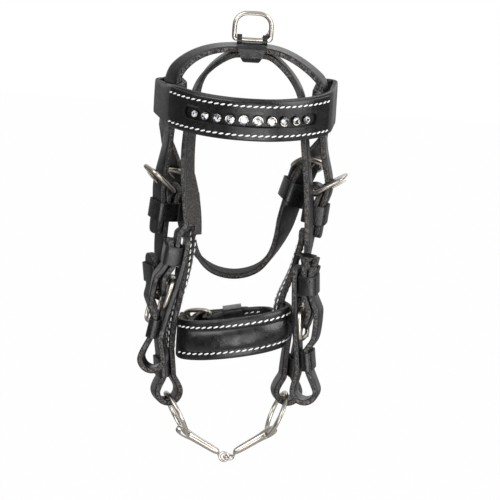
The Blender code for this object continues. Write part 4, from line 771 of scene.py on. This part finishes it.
# Hangers: narrow straps that carry the noseband on both sides, each lined and sewn along both edges.
# Their stitches are a little finer and show on the outer and the inner face.
HANGER_THICKNESS = 2.6
HANGER_FACE = HANGER_THICKNESS / 2
HANGER_ROWS_FROM = 2.0
HANGER_ROWS_SHORT = 1.5
HANGERS = {
    "left": Line([(-20.2, -3.4, -80.0), (-20.1, -3.4, -86.0), (-19.9, -3.8, -94.6), (-20.4, -4.6, -103.4),
                  (-21.2, -5.4, -109.0), (-23.0, -6.8, -117.6), (-24.9, -7.6, -125.5),
                  (-25.3, -7.8, -131.0), (-25.3, -7.8, -136.5)],
                 [(-0.87, 0.50, 0), (-0.87, 0.50, 0), (-0.92, 0.40, 0), (-0.96, 0.28, 0), (-0.98, 0.15, 0),
                  (-1.0, -0.05, 0), (-0.98, -0.18, 0), (-0.98, -0.20, 0), (-0.98, -0.20, 0)]),
    "right": Line([(24.9, -7.5, -85.0), (24.9, -7.3, -89.0), (23.6, -5.4, -94.0), (22.6, -4.4, -99.0),
                   (21.1, -4.4, -104.5), (19.0, -5.0, -109.5), (17.3, -6.0, -114.5), (16.8, -6.6, -120.0),
                   (16.8, -6.8, -129.0)],
                  [(0.985, -0.17, 0), (0.985, -0.17, 0), (0.98, -0.10, 0), (0.98, 0.0, 0), (0.98, 0.08, 0),
                   (0.98, 0.16, 0), (0.96, 0.24, 0), (0.95, 0.28, 0), (0.95, 0.28, 0)]),
}
for side, line in HANGERS.items():
    dressed_copy("noseband_hanger_" + side, STRAP_LEATHER, thickness=HANGER_THICKNESS / 1000)
    for edge, across in (("front", 2.2), ("rear", -2.2)):
        for face, out in (("outer", HANGER_FACE), ("inner", -HANGER_FACE)):
            name = "hanger_stitches_%s_%s_%s" % (side, edge, face)
            rows_to = line.length - HANGER_ROWS_SHORT
            stitches(name, line, HANGER_ROWS_FROM, rows_to, out, across, scale=0.85)

# Chin strap: its folded end is sewn down behind the buckle. The row shows on the inner side, over the
# noseband, and goes on where the strap is single. Its line runs along the back, so across is down there.
CHIN_PLAN = [(-9.3, 7.6), (-3.0, 8.2), (3.0, 8.5), (8.5, 7.9), (12.8, 5.4), (15.2, 1.5), (16.3, -2.2)]
CHIN = Line(hung(CHIN_PLAN, NOSE_HEIGHT, NOSE_SLOPE),
            [(0.0, 1.0, 0)] * 3 + [(0.35, 0.94, 0), (0.75, 0.66, 0), (0.95, 0.30, 0), (0.97, 0.24, 0)])
for part, start, end, out in (("folded", 3.5, 9.2, -3.85), ("single", 11.6, 19.6, -1.3)):
    stitches("chin_stitches_" + part, CHIN, start, end, out, -2.3, slant=-STITCH_SLANT, scale=0.8)
